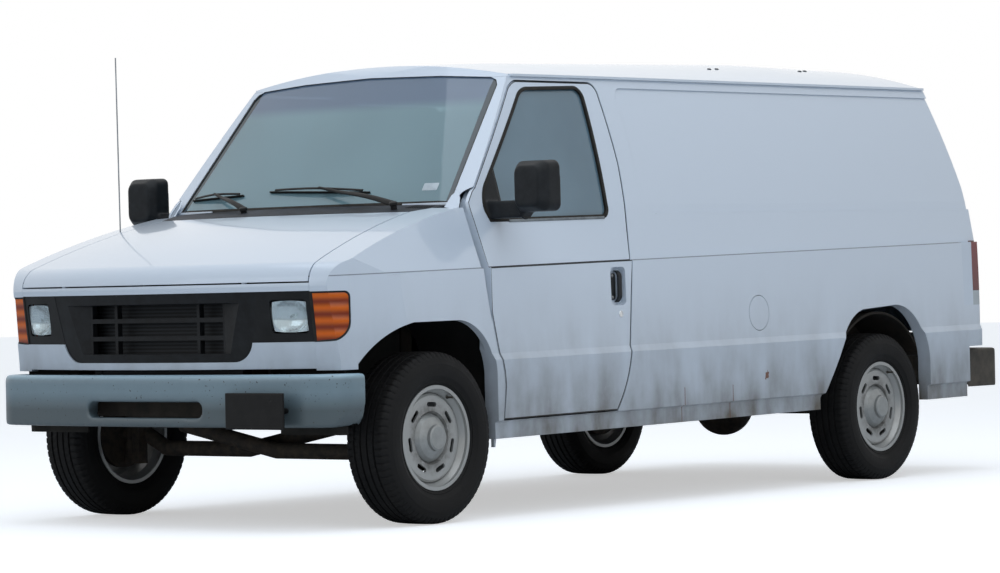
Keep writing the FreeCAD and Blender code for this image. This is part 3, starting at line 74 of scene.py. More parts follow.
# Studio. A white seamless floor under a broad white ceiling, as on an overcast day, with the sky's
# light strongest from above and from the driver's side.
def linear(hexa):
    """A written sRGB colour as the linear colour that a shader takes."""
    parts = [int(hexa[i:i + 2], 16) / 255 for i in (1, 3, 5)]
    return [p / 12.92 if p <= 0.04045 else ((p + 0.055) / 1.055) ** 2.4 for p in parts] + [1.0]


def socket(node, name):
    """A node's input by its number, or the one in use that has this name."""
    if isinstance(name, int):
        return node.inputs[name]
    return next(s for s in node.inputs if s.enabled and s.name == name)


def join(node, **sources):
    """Links each source to the node's input of that name, or of that number after a _. A source is an
    output, or a node that gives its first one."""
    for name, source in sources.items():
        if isinstance(source, bpy.types.Node):
            source = next(s for s in source.outputs if s.enabled)
        place = socket(node, int(name[1:]) if name[0] == "_" else name.replace("_", " "))
        node.id_data.links.new(source, place)


def add(tree, kind, settings=None, **sources):
    """Adds a shader node with its settings, by property or by input, and its links."""
    made = tree.nodes.new("ShaderNode" + kind)
    for name, value in (settings or {}).items():
        if isinstance(name, str) and hasattr(made, name):
            setattr(made, name, value)
        else:
            socket(made, name).default_value = value
    join(made, **sources)
    return made


def finish(name, settings):
    """A new material, its tree, its shader, and the place of each point on the object in metres."""
    made = bpy.data.materials.new(name)
    made.use_nodes = True
    shader = made.node_tree.nodes["Principled BSDF"]
    for name, value in settings.items():
        shader.inputs[name].default_value = value
    return made, made.node_tree, shader, add(made.node_tree, "TexCoord").outputs["Object"]


world = bpy.data.worlds.new("overcast")
bpy.context.scene.world = world
world.use_nodes = True
sky = world.node_tree
sky.nodes.clear()
direction = add(sky, "TexCoord")
split = add(sky, "SeparateXYZ", Vector=direction.outputs["Generated"])
height = add(sky, "MapRange", {"From Min": -0.2, "From Max": 0.9, "To Min": 0.16, "To Max": 0.60},
             Value=split.outputs["Z"])
dome = add(sky, "Background", {"Color": linear("#dce9f7")}, Strength=height)
backdrop = add(sky, "Background", {"Color": (1, 1, 1, 1), "Strength": 1.0})
path = add(sky, "LightPath")
through = add(sky, "Math", {"operation": "MAXIMUM"}, _0=path.outputs["Is Camera Ray"],
              _1=path.outputs["Is Transmission Ray"])
seen = add(sky, "Math", {"operation": "MAXIMUM"}, _0=through, _1=path.outputs["Is Glossy Ray"])
both = add(sky, "MixShader", Fac=seen, _1=dome, _2=backdrop)
add(sky, "OutputWorld", Surface=both)

for name, place, aim, size, power in (
        ("ceiling", (1.5, -1.5, 8.0), (0, 0, 1.0), 9.0, 310.0),
        ("driver_side", (9.0, -5.0, 4.5), (0, 0, 1.0), 6.0, 105.0),
        ("nose", (-3.0, -10.0, 3.6), (0, -1.5, 0.9), 5.0, 80.0)):
    lamp_data = bpy.data.lights.new(name, "AREA")
    lamp_data.size = size
    lamp_data.energy = power
    lamp_data.color = linear("#e6effa")[:3]
    lamp = bpy.data.objects.new(name, lamp_data)
    lamp.location = place
    lamp.rotation_euler = (Vector(aim) - Vector(place)).to_track_quat("-Z", "Y").to_euler()
    bpy.context.scene.collection.objects.link(lamp)

floor_mesh = bpy.data.meshes.new("floor")
floor_mesh.from_pydata([(-60, -60, 0), (60, -60, 0), (60, 60, 0), (-60, 60, 0)], [], [(0, 1, 2, 3)])
floor = bpy.data.objects.new("floor", floor_mesh)
bpy.context.scene.collection.objects.link(floor)
seamless, tree, shader, where = finish("seamless_floor", {"Base Color": linear("#e8e9ea"), "Roughness": 0.9})
path = add(tree, "LightPath")
# What the camera sees of the floor is lifted towards white, and the van's shadow stays in it
lift = add(tree, "Math", {"operation": "MULTIPLY", 1: 0.5}, _0=path.outputs["Is Camera Ray"])
shader.inputs["Emission Color"].default_value = (1, 1, 1, 1)
join(shader, Emission_Strength=lift)
floor.data.materials.append(seamless)


# Frame, floor, tank and liners. Pressed steel rails and pans, welded and dipped in black wax, which
# mud has dulled and rust has started to lift. The wheelhouse liners are black plastic.
DUST = "#82796b"
RUST = "#6b3d24"


def worn(name, tones, patch, grain, relief, rough, dust=0.0, dust_top=1.0, **settings):
    """A material that drifts between two tones over patches and has a grain, sizes in metres. Road dust
    lies on it, thickest near the ground and on what faces up. It returns the material."""
    made, tree, shader, where = finish(name, settings)
    # A fine texture and dust break up the gloss of rubber, wax and plastic
    shader.inputs["Specular IOR Level"].default_value = 0.5 if settings.get("Metallic") else 0.18
    drift = add(tree, "TexNoise", {"Scale": 1 / patch, "Detail": 6.0, "Roughness": 0.62}, Vector=where)
    spread = add(tree, "MapRange", {"From Min": 0.36, "From Max": 0.64}, Value=drift)
    tone = add(tree, "Mix", {"data_type": "RGBA", "A": linear(tones[0]), "B": linear(tones[1])},
               Factor=spread)
    fine = add(tree, "TexNoise", {"Scale": 1 / grain, "Detail": 2.0}, Vector=where)
    bump = add(tree, "Bump", {"Distance": relief}, Height=fine)
    join(shader, Normal=bump)
    parts = add(tree, "SeparateXYZ", Vector=where)
    low = add(tree, "MapRange", {"From Min": 0.15, "From Max": dust_top, "To Min": 1.0, "To Max": 0.0},
              Value=parts.outputs["Z"])
    facing = add(tree, "NewGeometry")
    face = add(tree, "SeparateXYZ", Vector=facing.outputs["Normal"])
    up = add(tree, "Math", {"operation": "MULTIPLY_ADD", 1: 0.5, 2: 0.5, "use_clamp": True},
             _0=face.outputs["Z"])
    lies = add(tree, "Math", {"operation": "ADD"}, _0=low, _1=up)
    patchy = add(tree, "Math", {"operation": "MULTIPLY"}, _0=lies, _1=drift)
    film = add(tree, "Math", {"operation": "MULTIPLY", 1: dust, "use_clamp": True}, _0=patchy)
    dusty = add(tree, "Mix", {"data_type": "RGBA", "B": linear(DUST)}, Factor=film, A=tone)
    join(shader, Base_Color=dusty)
    dull = add(tree, "MapRange", {"To Min": rough, "To Max": 0.92}, Value=film)
    join(shader, Roughness=dull)
    return made


def dress(material, *names):
    """Gives these carried-over nodes this material alone."""
    for name in names:
        nodes[name].data.materials.clear()
        nodes[name].data.materials.append(material)


# Black wax over steel: dull near-black with brown rust bloom, pitted by stones
dress(worn("waxed_steel", ("#100f0e", "#1f1813"), 0.09, 0.004, 0.0006, 0.72, dust=0.2, dust_top=0.8),
      "chassis_frame", "floor_pan", "seat_frames", "firewall")
dress(worn("tank_steel", ("#151413", "#201e1c"), 0.15, 0.003, 0.0004, 0.6, dust=0.25, dust_top=0.8),
      "fuel_tank")
# Liner plastic: soft black with a fibrous grain and dried mud on its lower half
dress(worn("liner_plastic", ("#121314", "#1a1b1b"), 0.12, 0.0025, 0.0004, 0.82, dust=0.15, dust_top=0.75),
      "wheel_liners")


# Engine, driveline and exhaust. One cast block, a steel shaft and an aluminised steel pipe, all
# bare metal gone brown. The radiator has thin aluminium fins that show only through the grille.
dress(worn("cast_block", ("#2b2a29", "#3a322b"), 0.06, 0.0025, 0.0007, 0.75, dust=0.5, Metallic=0.5),
      "engine_block")
dress(worn("shaft_steel", ("#2e2a27", "#4a3a2e"), 0.05, 0.002, 0.0003, 0.6, dust=0.5, Metallic=0.7),
      "propeller_shaft")
dress(worn("exhaust_steel", ("#5a5047", "#3c2c22"), 0.05, 0.002, 0.0003, 0.55, dust=0.45, Metallic=0.8),
      "exhaust")

# One band of a wave texture at scale 1, in metres. The fins are drawn several times as far apart as real
# ones, so that they show.
BAND = math.pi / 10
FIN_PITCH = 0.01508
fins, tree, shader, where = finish("radiator_fins", {"Roughness": 0.6, "Metallic": 0.6})
wave = add(tree, "TexWave", {"bands_direction": "Z", "Scale": BAND / FIN_PITCH}, Vector=where)
shade = add(tree, "Mix", {"data_type": "RGBA", "A": linear("#0b0c0d"), "B": linear("#2a2d30")},
            Factor=wave.outputs["Fac"])
join(shader, Base_Color=shade)
dress(fins, "radiator")


# Axles and steering knuckles. Iron castings and forged beams, unpainted, with flaking brown rust
# and a film of road dirt.
dress(worn("cast_iron", ("#1b1918", "#33271f"), 0.035, 0.002, 0.0008, 0.8, dust=0.25, dust_top=0.7,
           Metallic=0.4), "front_axle", "rear_axle", "left_knuckle", "right_knuckle")


# Wheels. Pressed steel discs with seven oblong holes, sprayed argent grey, under a domed steel hub
# cap with a plain end. Brake dust has stained the slots, and the cap is duller than the disc.
HUB_HEIGHT = 0.362
AXLES = (("front", -1.9325), ("rear", 1.5725))
CAP_EDGE = 0.103
SHARP = math.radians(32)


def piece(name, form, material, body):
    """A closed mesh from its corners and faces, smooth but for its sharp edges, riding on a body. The
    corners are in the frame."""
    shape = bmesh.new()
    corners = [shape.verts.new(v) for v in form[0]]
    for face in form[1]:
        shape.faces.new([corners[i] for i in face])
    bmesh.ops.recalc_face_normals(shape, faces=shape.faces)
    mesh = bpy.data.meshes.new(name)
    shape.to_mesh(mesh)
    shape.free()
    mesh.shade_smooth()
    mesh.set_sharp_from_angle(angle=SHARP)
    mesh.materials.append(material)
    thing = bpy.data.objects.new(name, mesh)
    bpy.context.scene.collection.objects.link(thing)
    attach(thing, body)
    return thing


def lathe(profile, centre, axis, steps, wobble=None):
    """Corners and faces of a closed outline of (along, radius) turned about an axis through centre.
    wobble(k, i) takes something off the radius at step k of outline point i."""
    axis = Vector(axis).normalized()
    side = axis.orthogonal().normalized()
    other = axis.cross(side)
    verts = []
    for k in range(steps):
        turn = 2 * math.pi * k / steps
        out = side * math.cos(turn) + other * math.sin(turn)
        for i, (along, radius) in enumerate(profile):
            radius -= wobble(k, i) if wobble else 0.0
            verts.append(Vector(centre) + axis * along + out * radius)
    n = len(profile)
    faces = [(k * n + i, k * n + (i + 1) % n, (k + 1) % steps * n + (i + 1) % n, (k + 1) % steps * n + i)
             for k in range(steps) for i in range(n)]
    return verts, faces


STEM = [(0.0, 0.0062), (0.004, 0.0068), (0.009, 0.005), (0.022, 0.0042), (0.024, 0.0047), (0.034, 0.0046),
        (0.036, 0.0036), (0.036, 0.0004), (0.0, 0.0004)]
stem_rubber = worn("stem_rubber", ("#161616", "#1e1e1d"), 0.01, 0.0006, 0.00005, 0.6, dust=0.4)
for axle, place_y in AXLES:
    argent, tree, shader, where = finish("argent_enamel_" + axle, {"Metallic": 0.35, "Coat Weight": 0.25})
    from_hub = add(tree, "VectorMath", {"operation": "SUBTRACT", 1: (0, place_y, HUB_HEIGHT)}, _0=where)
    flat = add(tree, "VectorMath", {"operation": "MULTIPLY", 1: (0, 1, 1)}, _0=from_hub)
    radius = add(tree, "VectorMath", {"operation": "LENGTH"}, _0=flat)
    on_cap = add(tree, "Math", {"operation": "LESS_THAN", 1: CAP_EDGE}, _0=radius)
    paint = add(tree, "Mix", {"data_type": "RGBA", "A": linear("#a4a4a1"), "B": linear("#9fa19f")},
                Factor=on_cap)
    blotch = add(tree, "TexNoise", {"Scale": 28.0, "Detail": 6.0, "Roughness": 0.65}, Vector=where)
    # Brake dust: thickest in a ring round the slots, thin at the lip
    ring = add(tree, "MapRange", {"From Min": 0.10, "From Max": 0.17, "To Min": 1.0, "To Max": 0.25},
               Value=radius)
    patchy = add(tree, "Math", {"operation": "MULTIPLY"}, _0=ring, _1=blotch)
    stain = add(tree, "Math", {"operation": "MULTIPLY_ADD", 1: 1.9, 2: -0.35, "use_clamp": True}, _0=patchy)
    kept = add(tree, "Math", {"operation": "MULTIPLY_ADD", 1: -0.7, 2: 1.0}, _0=on_cap)
    stain = add(tree, "Math", {"operation": "MULTIPLY"}, _0=stain, _1=kept)
    soiled = add(tree, "Mix", {"data_type": "RGBA", "B": linear("#453f38")}, Factor=stain, A=paint)
    join(shader, Base_Color=soiled)
    dull = add(tree, "MapRange", {"To Min": 0.38, "To Max": 0.75}, Value=stain)
    join(shader, Roughness=dull)
    for side, sign in SIDES:
        wheel = axle + "_" + side + "_wheel"
        dress(argent, wheel)
        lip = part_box(wheel)[1].x if sign > 0 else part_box(wheel)[0].x
        base = Vector((lip - sign * 0.036, place_y + 0.1, HUB_HEIGHT + 0.166))
        piece(wheel + "_valve", lathe(STEM, base, (sign, 0, 0), 20), stem_rubber, wheel)


# Tyres. Radial tyres of black rubber with five ribs and notched shoulders, moulded in one piece and
# seated on the rims. Stone dust has greyed the sidewalls.
TYRE_STEPS = 360
NOTCH_EVERY = 5
tyre_rubber, tree, shader, where = finish("tyre_rubber", {"Specular IOR Level": 0.2})
drift = add(tree, "TexNoise", {"Scale": 9.0, "Detail": 7.0, "Roughness": 0.65}, Vector=where)
spread = add(tree, "MapRange", {"From Min": 0.35, "From Max": 0.7}, Value=drift)
tone = add(tree, "Mix", {"data_type": "RGBA", "A": linear("#0b0b0c"), "B": linear("#1d1c1b")}, Factor=spread)
fine = add(tree, "TexNoise", {"Scale": 900.0, "Detail": 2.0}, Vector=where)
bump = add(tree, "Bump", {"Distance": 0.0002}, Height=fine)
join(shader, Base_Color=tone)
join(shader, Normal=bump)
dull = add(tree, "MapRange", {"To Min": 0.62, "To Max": 0.85}, Value=spread)
join(shader, Roughness=dull)

SIDEWALL = [(0.0745, 0.2125), (0.0885, 0.2125), (0.0888, 0.2216), (0.0960, 0.2255), (0.1000, 0.2320),
            (0.1035, 0.2328), (0.1045, 0.2350), (0.1030, 0.2372), (0.1070, 0.2450), (0.1120, 0.2560),
            (0.1132, 0.2575), (0.1138, 0.2600), (0.1150, 0.2700), (0.1168, 0.2850), (0.1168, 0.2960),
            (0.1156, 0.3090), (0.1156, 0.3105), (0.1146, 0.3120), (0.1120, 0.3240), (0.1080, 0.3350),
            (0.1050, 0.3410), (0.1025, 0.3440), (0.0990, 0.3480), (0.0950, 0.3535), (0.0880, 0.3590)]
TREAD_HALF = [(0.0800, 0.3604), (0.0700, 0.3610), (0.0575, 0.3612), (0.0555, 0.3535), (0.0485, 0.3535),
              (0.0465, 0.3616), (0.0350, 0.3618), (0.0225, 0.3619), (0.0205, 0.3540), (0.0145, 0.3540),
              (0.0125, 0.3620), (0.0050, 0.3620)]
LINER = [(0.0950, 0.2700), (0.0900, 0.3250), (0.0780, 0.3400), (0.0400, 0.3460)]
outline = SIDEWALL + TREAD_HALF
outline += [(-x, r) for x, r in reversed(outline)]
inside = [(-x, r) for x, r in LINER] + [(x, r) for x, r in reversed(LINER)]
outline += inside
NOTCHED = [i for i, (x, r) in enumerate(outline) if r > 0.3405 and 0.066 < abs(x) < 0.1055]
SIPED = [i for i, (x, r) in enumerate(outline) if r > 0.3600 and 0.024 < abs(x) < 0.047]


def tread_cut(k, i):
    """Depth of the shoulder notches and of the narrow cuts across the second ribs."""
    if i in NOTCHED and k % NOTCH_EVERY == 0:
        return 0.0055
    if i in SIPED and (k + 2) % NOTCH_EVERY == 0:
        return 0.0030
    return 0.0


for axle, place_y in AXLES:
    for side in ("left", "right"):
        tyre = axle + "_" + side + "_tyre"
        low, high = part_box(tyre)
        form = lathe(outline, ((low.x + high.x) / 2, place_y, HUB_HEIGHT), (1, 0, 0), TYRE_STEPS, tread_cut)
        made = piece(tyre + "_moulded", form, tyre_rubber, axle + "_" + side + "_wheel")
        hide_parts(tyre)


# Body shell. Pressed steel sheet, spot welded and sprayed with white enamel under clear lacquer.
# Dust climbs from the sills, with painted shade in it near the ground, and behind the front door the sill has
# cracked at two welds and rusted.
WHITE = "#d3dce6"
RUST_PLACE = (1.007, 0.487, 0.549)
CRACKS = (-0.1806, 0.2044)
CRACK_TOP = 0.515
BELT_UP = (0, -0.02574, 0.99976)    # square to the belt's fold in the side view
BELT_HEIGHT = 1.11174               # how far the fold lies along that
LINE_HALF = 0.0022

white_enamel, tree, shader, where = finish("white_enamel", {"Coat Weight": 0.7, "Coat Roughness": 0.05})
parts = add(tree, "SeparateXYZ", Vector=where)
# Dust and painted shade: darker towards the bottom, most of all along the sill
low_dust_and_shade = add(tree, "MapRange", {"From Min": 0.34, "From Max": 1.12, "To Min": 1.0, "To Max": 0.0},
           Value=parts.outputs["Z"])
sharper = add(tree, "Math", {"operation": "POWER", 1: 1.8}, _0=low_dust_and_shade)
cloud = add(tree, "TexNoise", {"Scale": 2.4, "Detail": 7.0, "Roughness": 0.6}, Vector=where)
runs = add(tree, "Mapping", {"Scale": (7.0, 7.0, 2.2)}, Vector=where)
streak = add(tree, "TexNoise", {"Scale": 1.0, "Detail": 6.0}, Vector=runs)
patchy = add(tree, "Math", {"operation": "MULTIPLY"}, _0=cloud, _1=streak)
film = add(tree, "Math", {"operation": "MULTIPLY"}, _0=sharper, _1=patchy)
dusty = add(tree, "Math", {"operation": "MULTIPLY", 1: 2.9, "use_clamp": True}, _0=film)
sill_dust_and_shade = add(tree, "MapRange", {"From Min": 0.40, "From Max": 0.50, "To Min": 0.9, "To Max": 0.0},
            Value=parts.outputs["Z"])
sill_dust_and_shade = add(tree, "Math", {"operation": "MULTIPLY"}, _0=sill_dust_and_shade, _1=cloud)
dusty = add(tree, "Math", {"operation": "MAXIMUM"}, _0=dusty, _1=sill_dust_and_shade)
soiled = add(tree, "Mix", {"data_type": "RGBA", "A": linear(WHITE), "B": linear("#645d52")}, Factor=dusty)
# Painted shade in the fold along the belt: a thin dark line, where a point's height square to it is the fold's
above = add(tree, "VectorMath", {"operation": "DOT_PRODUCT", 1: BELT_UP}, _0=where)
crease_shade = add(tree, "Math", {"operation": "COMPARE", 1: BELT_HEIGHT, 2: LINE_HALF}, _0=above)
facing = add(tree, "NewGeometry")
face = add(tree, "SeparateXYZ", Vector=facing.outputs["Normal"])
sideways = add(tree, "Math", {"operation": "ABSOLUTE"}, _0=face.outputs["X"])
beside = add(tree, "Math", {"operation": "GREATER_THAN", 1: 0.6}, _0=sideways)
line = add(tree, "Math", {"operation": "MULTIPLY"}, _0=crease_shade, _1=beside)
painted_crease_shade = add(tree, "Math", {"operation": "MULTIPLY", 1: 0.75}, _0=line)
soiled = add(tree, "Mix", {"data_type": "RGBA", "B": linear("#4c545c")}, Factor=painted_crease_shade, A=soiled)
# Rust spot on the driver's sill, and cracks at the welds of both sills
off = add(tree, "VectorMath", {"operation": "DISTANCE", 1: RUST_PLACE}, _0=where)
edge = add(tree, "TexNoise", {"Scale": 70.0, "Detail": 5.0}, Vector=where)
ragged = add(tree, "Math", {"operation": "MULTIPLY_ADD", 1: 0.09}, _0=edge, _2=off)
marks = add(tree, "Math", {"operation": "LESS_THAN", 1: 0.060}, _0=ragged)
low = add(tree, "Math", {"operation": "LESS_THAN", 1: CRACK_TOP}, _0=parts.outputs["Z"])
for crack_y in CRACKS:
    beside = add(tree, "Math", {"operation": "COMPARE", 1: crack_y, 2: LINE_HALF}, _0=parts.outputs["Y"])
    crack = add(tree, "Math", {"operation": "MULTIPLY"}, _0=beside, _1=low)
    marks = add(tree, "Math", {"operation": "MAXIMUM"}, _0=marks, _1=crack)
rusty = add(tree, "Mix", {"data_type": "RGBA", "B": linear(RUST)}, Factor=marks, A=soiled)
join(shader, Base_Color=rusty)
duller = add(tree, "MapRange", {"To Min": 0.30, "To Max": 0.85}, Value=dusty)
join(shader, Roughness=duller)
# Sheet metal is never dead flat, and its edges are folded over a few millimetres
waves = add(tree, "TexNoise", {"Scale": 3.5, "Detail": 1.0}, Vector=where)
folded = add(tree, "Bevel", {"samples": 4, "Radius": 0.0025})
uneven = add(tree, "Bump", {"Distance": 0.0025, "Strength": 0.35}, Height=waves, Normal=folded)
join(shader, Normal=uneven)
dress(white_enamel, "body_side_left", "body_side_right", "roof_panel", "rear_sill", "left_wing",
      "right_wing", "bonnet", "front_panel", "left_door", "right_door", "side_door_front", "side_door_rear",
      "rear_door_left", "rear_door_right", "fuel_flap")

black_rubber = worn("black_rubber", ("#0e0f10", "#1b1b1b"), 0.04, 0.0015, 0.0001, 0.62, dust=0.2)
skins = {}


def skin(node, start, way):
    """Place and outward normal where a line from start meets a node, both in the frame."""
    if node not in skins:
        shape = bmesh.new()
        shape.from_mesh(nodes[node].data)
        skins[node] = BVHTree.FromBMesh(shape)
        shape.free()
    spot, normal = skins[node].ray_cast(Vector(start), Vector(way).normalized())[:2]
    return spot, normal if normal.dot(Vector(way)) < 0 else -normal


# Painted gussets close the corners between the screen pillars, the cowl and the wings
GUSSET = [(0.796, -1.632, 1.334), (0.853, -1.603, 1.322), (0.840, -1.575, 1.372), (0.815, -1.560, 1.408),
          (0.800, -1.585, 1.385)]
for side, sign in SIDES:
    corners = [Vector((sign * x, y, z)) for x, y, z in GUSSET]
    deep = Vector((-sign * 0.004, 0.005, 0))
    verts = corners + [v + deep for v in corners]
    faces = [(0, 1, 2, 3, 4), (5, 6, 7, 8, 9)] + [(i, (i + 1) % 5, 5 + (i + 1) % 5, 5 + i) for i in range(5)]
    piece("pillar_gusset_" + side, (verts, faces), white_enamel, "body")

# Four rubber plugs close the roof's rack holes above the driver's side
PLUG = [(-0.002, 0.0004), (-0.002, 0.011), (0.0015, 0.011), (0.004, 0.008), (0.005, 0.0004)]
for number, (x, y) in enumerate(((0.450, 0.86), (0.445, 0.93), (0.434, 1.68), (0.4065, 1.767))):
    spot, normal = skin("roof_panel", (x, y, 3.0), (0, 0, -1))
    piece("roof_plug_%d" % (number + 1), lathe(PLUG, spot, normal, 20), black_rubber, "body")


# Glazing. Laminated and toughened glass, bonded or set in black rubber. The windscreen has a tinted
# band along its top and a dark ceramic border, and an empty inspection label in the driver's corner.
SCREEN_LOW = 1.36
SCREEN_HIGH = 1.87
GAP_SHADE_SECTION = [(-0.004, -0.001), (-0.0003, -0.001), (-0.0003, 0.0005), (-0.004, 0.0005)]


def edge_loops(node, outward, least=0.4):
    """Closed lines of points and normals round the faces of a node that look outward."""
    shape = bmesh.new()
    shape.from_mesh(nodes[node].data)
    bmesh.ops.remove_doubles(shape, verts=shape.verts, dist=2e-5)
    outward = Vector(outward).normalized()
    wanted = {f for f in shape.faces if f.normal.dot(outward) > least}
    follow = {}
    for edge in shape.edges:
        shared = [f for f in edge.link_faces if f in wanted]
        if len(shared) == 1:
            loop = next(lp for lp in shared[0].loops if lp.edge == edge)
            follow[loop.vert] = loop.link_loop_next.vert
    lines = []
    while follow:
        start, here = next(iter(follow.items()))
        line = [start]
        del follow[start]
        while here in follow:
            line.append(here)
            here = follow.pop(here)
        points = []
        for v in line:
            normal = sum((f.normal for f in v.link_faces if f in wanted), Vector()).normalized()
            if not points or (v.co - points[-1][0]).length > 0.0015:
                points.append((v.co.copy(), normal))
        lines.append(points)
    shape.free()
    return sorted(lines, key=len, reverse=True)


def swept(line, section, closed=True):
    """Corners and faces of a section of (aside, out) carried along a line of points and normals."""
    verts = []
    n = len(line)
    for i, (spot, normal) in enumerate(line):
        before = line[i - 1][0] if closed or i else spot
        after = line[(i + 1) % n][0] if closed or i < n - 1 else spot
        along = (after - before).normalized()
        aside = along.cross(normal).normalized()
        verts += [spot + aside * a + normal * b for a, b in section]
    m = len(section)
    faces = [(i * m + j, i * m + (j + 1) % m, (i + 1) % n * m + (j + 1) % m, (i + 1) % n * m + j)
             for i in range(n if closed else n - 1) for j in range(m)]
    if not closed:
        faces += [tuple(range(m)), tuple(range((n - 1) * m, n * m))]
    return verts, faces


def strip(wide, proud, sunk=0.0015):
    """Section of a rubber lip: wide across, standing proud, with its foot sunk below the surface."""
    h = wide / 2
    return [(-h, -sunk), (h, -sunk), (h, proud * 0.5), (h * 0.6, proud), (-h * 0.6, proud), (-h, proud * 0.5)]


# Screen glass: pale blue green, its colour a painted reflection of the bright sky
screen_glass, tree, shader, where = finish("screen_glass", {"Roughness": 0.03, "IOR": 1.52})
parts = add(tree, "SeparateXYZ", Vector=where)
mirrored = add(tree, "Math", {"operation": "ABSOLUTE"}, _0=parts.outputs["X"])
# The ceramic border leans inwards with the pillars
border = add(tree, "MapRange", {"From Min": SCREEN_LOW, "From Max": SCREEN_HIGH, "To Min": 0.762,
                                "To Max": 0.682}, Value=parts.outputs["Z"])
outer = add(tree, "Math", {"operation": "SUBTRACT"}, _0=mirrored, _1=border)
printed = add(tree, "MapRange", {"From Min": 0.0, "From Max": 0.004}, Value=outer)
band = add(tree, "MapRange", {"From Min": 1.775, "From Max": 1.835, "interpolation_type": "SMOOTHSTEP"},
           Value=parts.outputs["Z"])
cloud = add(tree, "TexNoise", {"Scale": 1.1, "Detail": 2.0}, Vector=where)
painted_sky = add(tree, "Mix", {"data_type": "RGBA", "A": linear("#7f9fa8"), "B": linear("#a3c3c9")}, Factor=cloud)
tinted = add(tree, "Mix", {"data_type": "RGBA", "B": linear("#8397ad")}, Factor=band, A=painted_sky)
framed = add(tree, "Mix", {"data_type": "RGBA", "B": linear("#2c3a40")}, Factor=printed, A=tinted)
join(shader, Base_Color=framed)
clear = add(tree, "MapRange", {"To Min": 0.42, "To Max": 0.0}, Value=printed)
join(shader, Transmission_Weight=clear)
dress(screen_glass, "windscreen_glass")

# Side glass: blue grey, darker than the screen, its colour a painted reflection of the sky, with a thin film
# of dust
side_glass, tree, shader, where = finish("side_glass", {"IOR": 1.52, "Transmission Weight": 0.55})
cloud = add(tree, "TexNoise", {"Scale": 1.6, "Detail": 3.0}, Vector=where)
painted_sky = add(tree, "Mix", {"data_type": "RGBA", "A": linear("#7390a0"), "B": linear("#a3c2d0")}, Factor=cloud)
join(shader, Base_Color=painted_sky)
join(shader, Roughness=add(tree, "MapRange", {"To Min": 0.02, "To Max": 0.09}, Value=cloud))
dress(side_glass, "left_door_glass", "right_door_glass", "rear_glass_left", "rear_glass_right")

for node, outward, wide, body in (("windscreen_glass", (0, -1, 0.8), 0.018, "body"),
                                  ("left_door_glass", (1, 0, 0.2), 0.016, "left_door"),
                                  ("right_door_glass", (-1, 0, 0.2), 0.016, "right_door"),
                                  ("rear_glass_left", (0, 1, 0), 0.022, "rear_door_left"),
                                  ("rear_glass_right", (0, 1, 0), 0.022, "rear_door_right")):
    line = edge_loops(node, outward)[0]
    piece(node + "_gasket", swept(line, strip(wide, 0.0035)), black_rubber, body)


def paint_gap_shade(body, outward):
    """A thin black strip of painted shade just inside each outer edge of a panel that opens, where its gap
    shows dark.
    """
    for number, line in enumerate(edge_loops(body, outward)):
        length = sum((line[i][0] - line[i - 1][0]).length for i in range(len(line)))
        if length > 1.2:
            piece("%s_seal_%d" % (body, number), swept(line, GAP_SHADE_SECTION), black_rubber, body)


for body, outward in (("left_door", (1, 0, 0.2)), ("right_door", (-1, 0, 0.2)),
                      ("rear_door_left", (0, 1, 0)), ("rear_door_right", (0, 1, 0))):
    paint_gap_shade(body, outward)
    # The window's opening: the highest closed line that stays below the door's top edge
    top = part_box(body)[1].z - 0.02
    inner = [line for line in edge_loops(body, outward) if max(p.z for p, n in line) < top]
    line = max(inner, key=lambda pts: sum(p.z for p, normal in pts) / len(pts))
    piece(body + "_window_lip", swept(line, strip(0.017, 0.0028)), black_rubber, body)
for body in ("side_door_front", "side_door_rear"):
    paint_gap_shade(body, (-1, 0, 0.2))


def card(name, centre, wide, tall, thick, right, up, material, body, corner=0.25, rows=6):
    """A thin slab with rounded corners, wide along right and tall along up, centred on a place."""
    right = Vector(right).normalized()
    up = Vector(up).normalized()
    out = right.cross(up)
    r = corner * min(wide, tall)
    ring = []
    for cx, cy, start in ((1, 1, 0), (-1, 1, 90), (-1, -1, 180), (1, -1, 270)):
        for i in range(rows + 1):
            turn = math.radians(start + 90 * i / rows)
            ring.append((cx * (wide / 2 - r) + r * math.cos(turn), cy * (tall / 2 - r) + r * math.sin(turn)))
    ease = min(thick * 0.4, r * 0.5, 0.003)
    layers = [(0, 1.0), (thick - ease, 1.0), (thick, 1 - 2 * ease / min(wide, tall))]
    verts = [Vector(centre) + right * x * k + up * y * k + out * depth
             for depth, k in layers for x, y in ring]
    m = len(ring)
    faces = [(j * m + i, j * m + (i + 1) % m, (j + 1) * m + (i + 1) % m, (j + 1) * m + i)
             for j in range(len(layers) - 1) for i in range(m)]
    faces += [tuple(range(m)), tuple(range((len(layers) - 1) * m, len(layers) * m))]
    return piece(name, (verts, faces), material, body)


label_film = worn("label_film", ("#b9c2c6", "#c7ced1"), 0.03, 0.001, 0.00002, 0.4)
spot, normal = skin("windscreen_glass", (0.650, -3.0, 1.428), (0, 1, 0))
aside = Vector((0, 0, 1)).cross(normal).normalized()
card("screen_label", spot, 0.075, 0.042, 0.0005, aside, normal.cross(aside), label_film, "body",
     corner=0.12)

cabin_black = worn("cabin_black", ("#16181a", "#1e2022"), 0.05, 0.0012, 0.0001, 0.55)
# Inside mirror, on a stalk from the roof's front rail
spot, normal = skin("windscreen_glass", (-0.14, -3.0, 1.765), (0, 1, 0))
card("inside_mirror", spot - normal * 0.065, 0.235, 0.066, 0.022, (1, 0, 0), (0, 0.25, 1), cabin_black, "body",
     corner=0.4)
STALK = [(0.0, 0.0004), (0.0, 0.011), (0.008, 0.010), (0.030, 0.007), (0.044, 0.006), (0.044, 0.0004)]
piece("inside_mirror_stalk", lathe(STALK, spot - normal * 0.008, -normal, 20), cabin_black, "body")


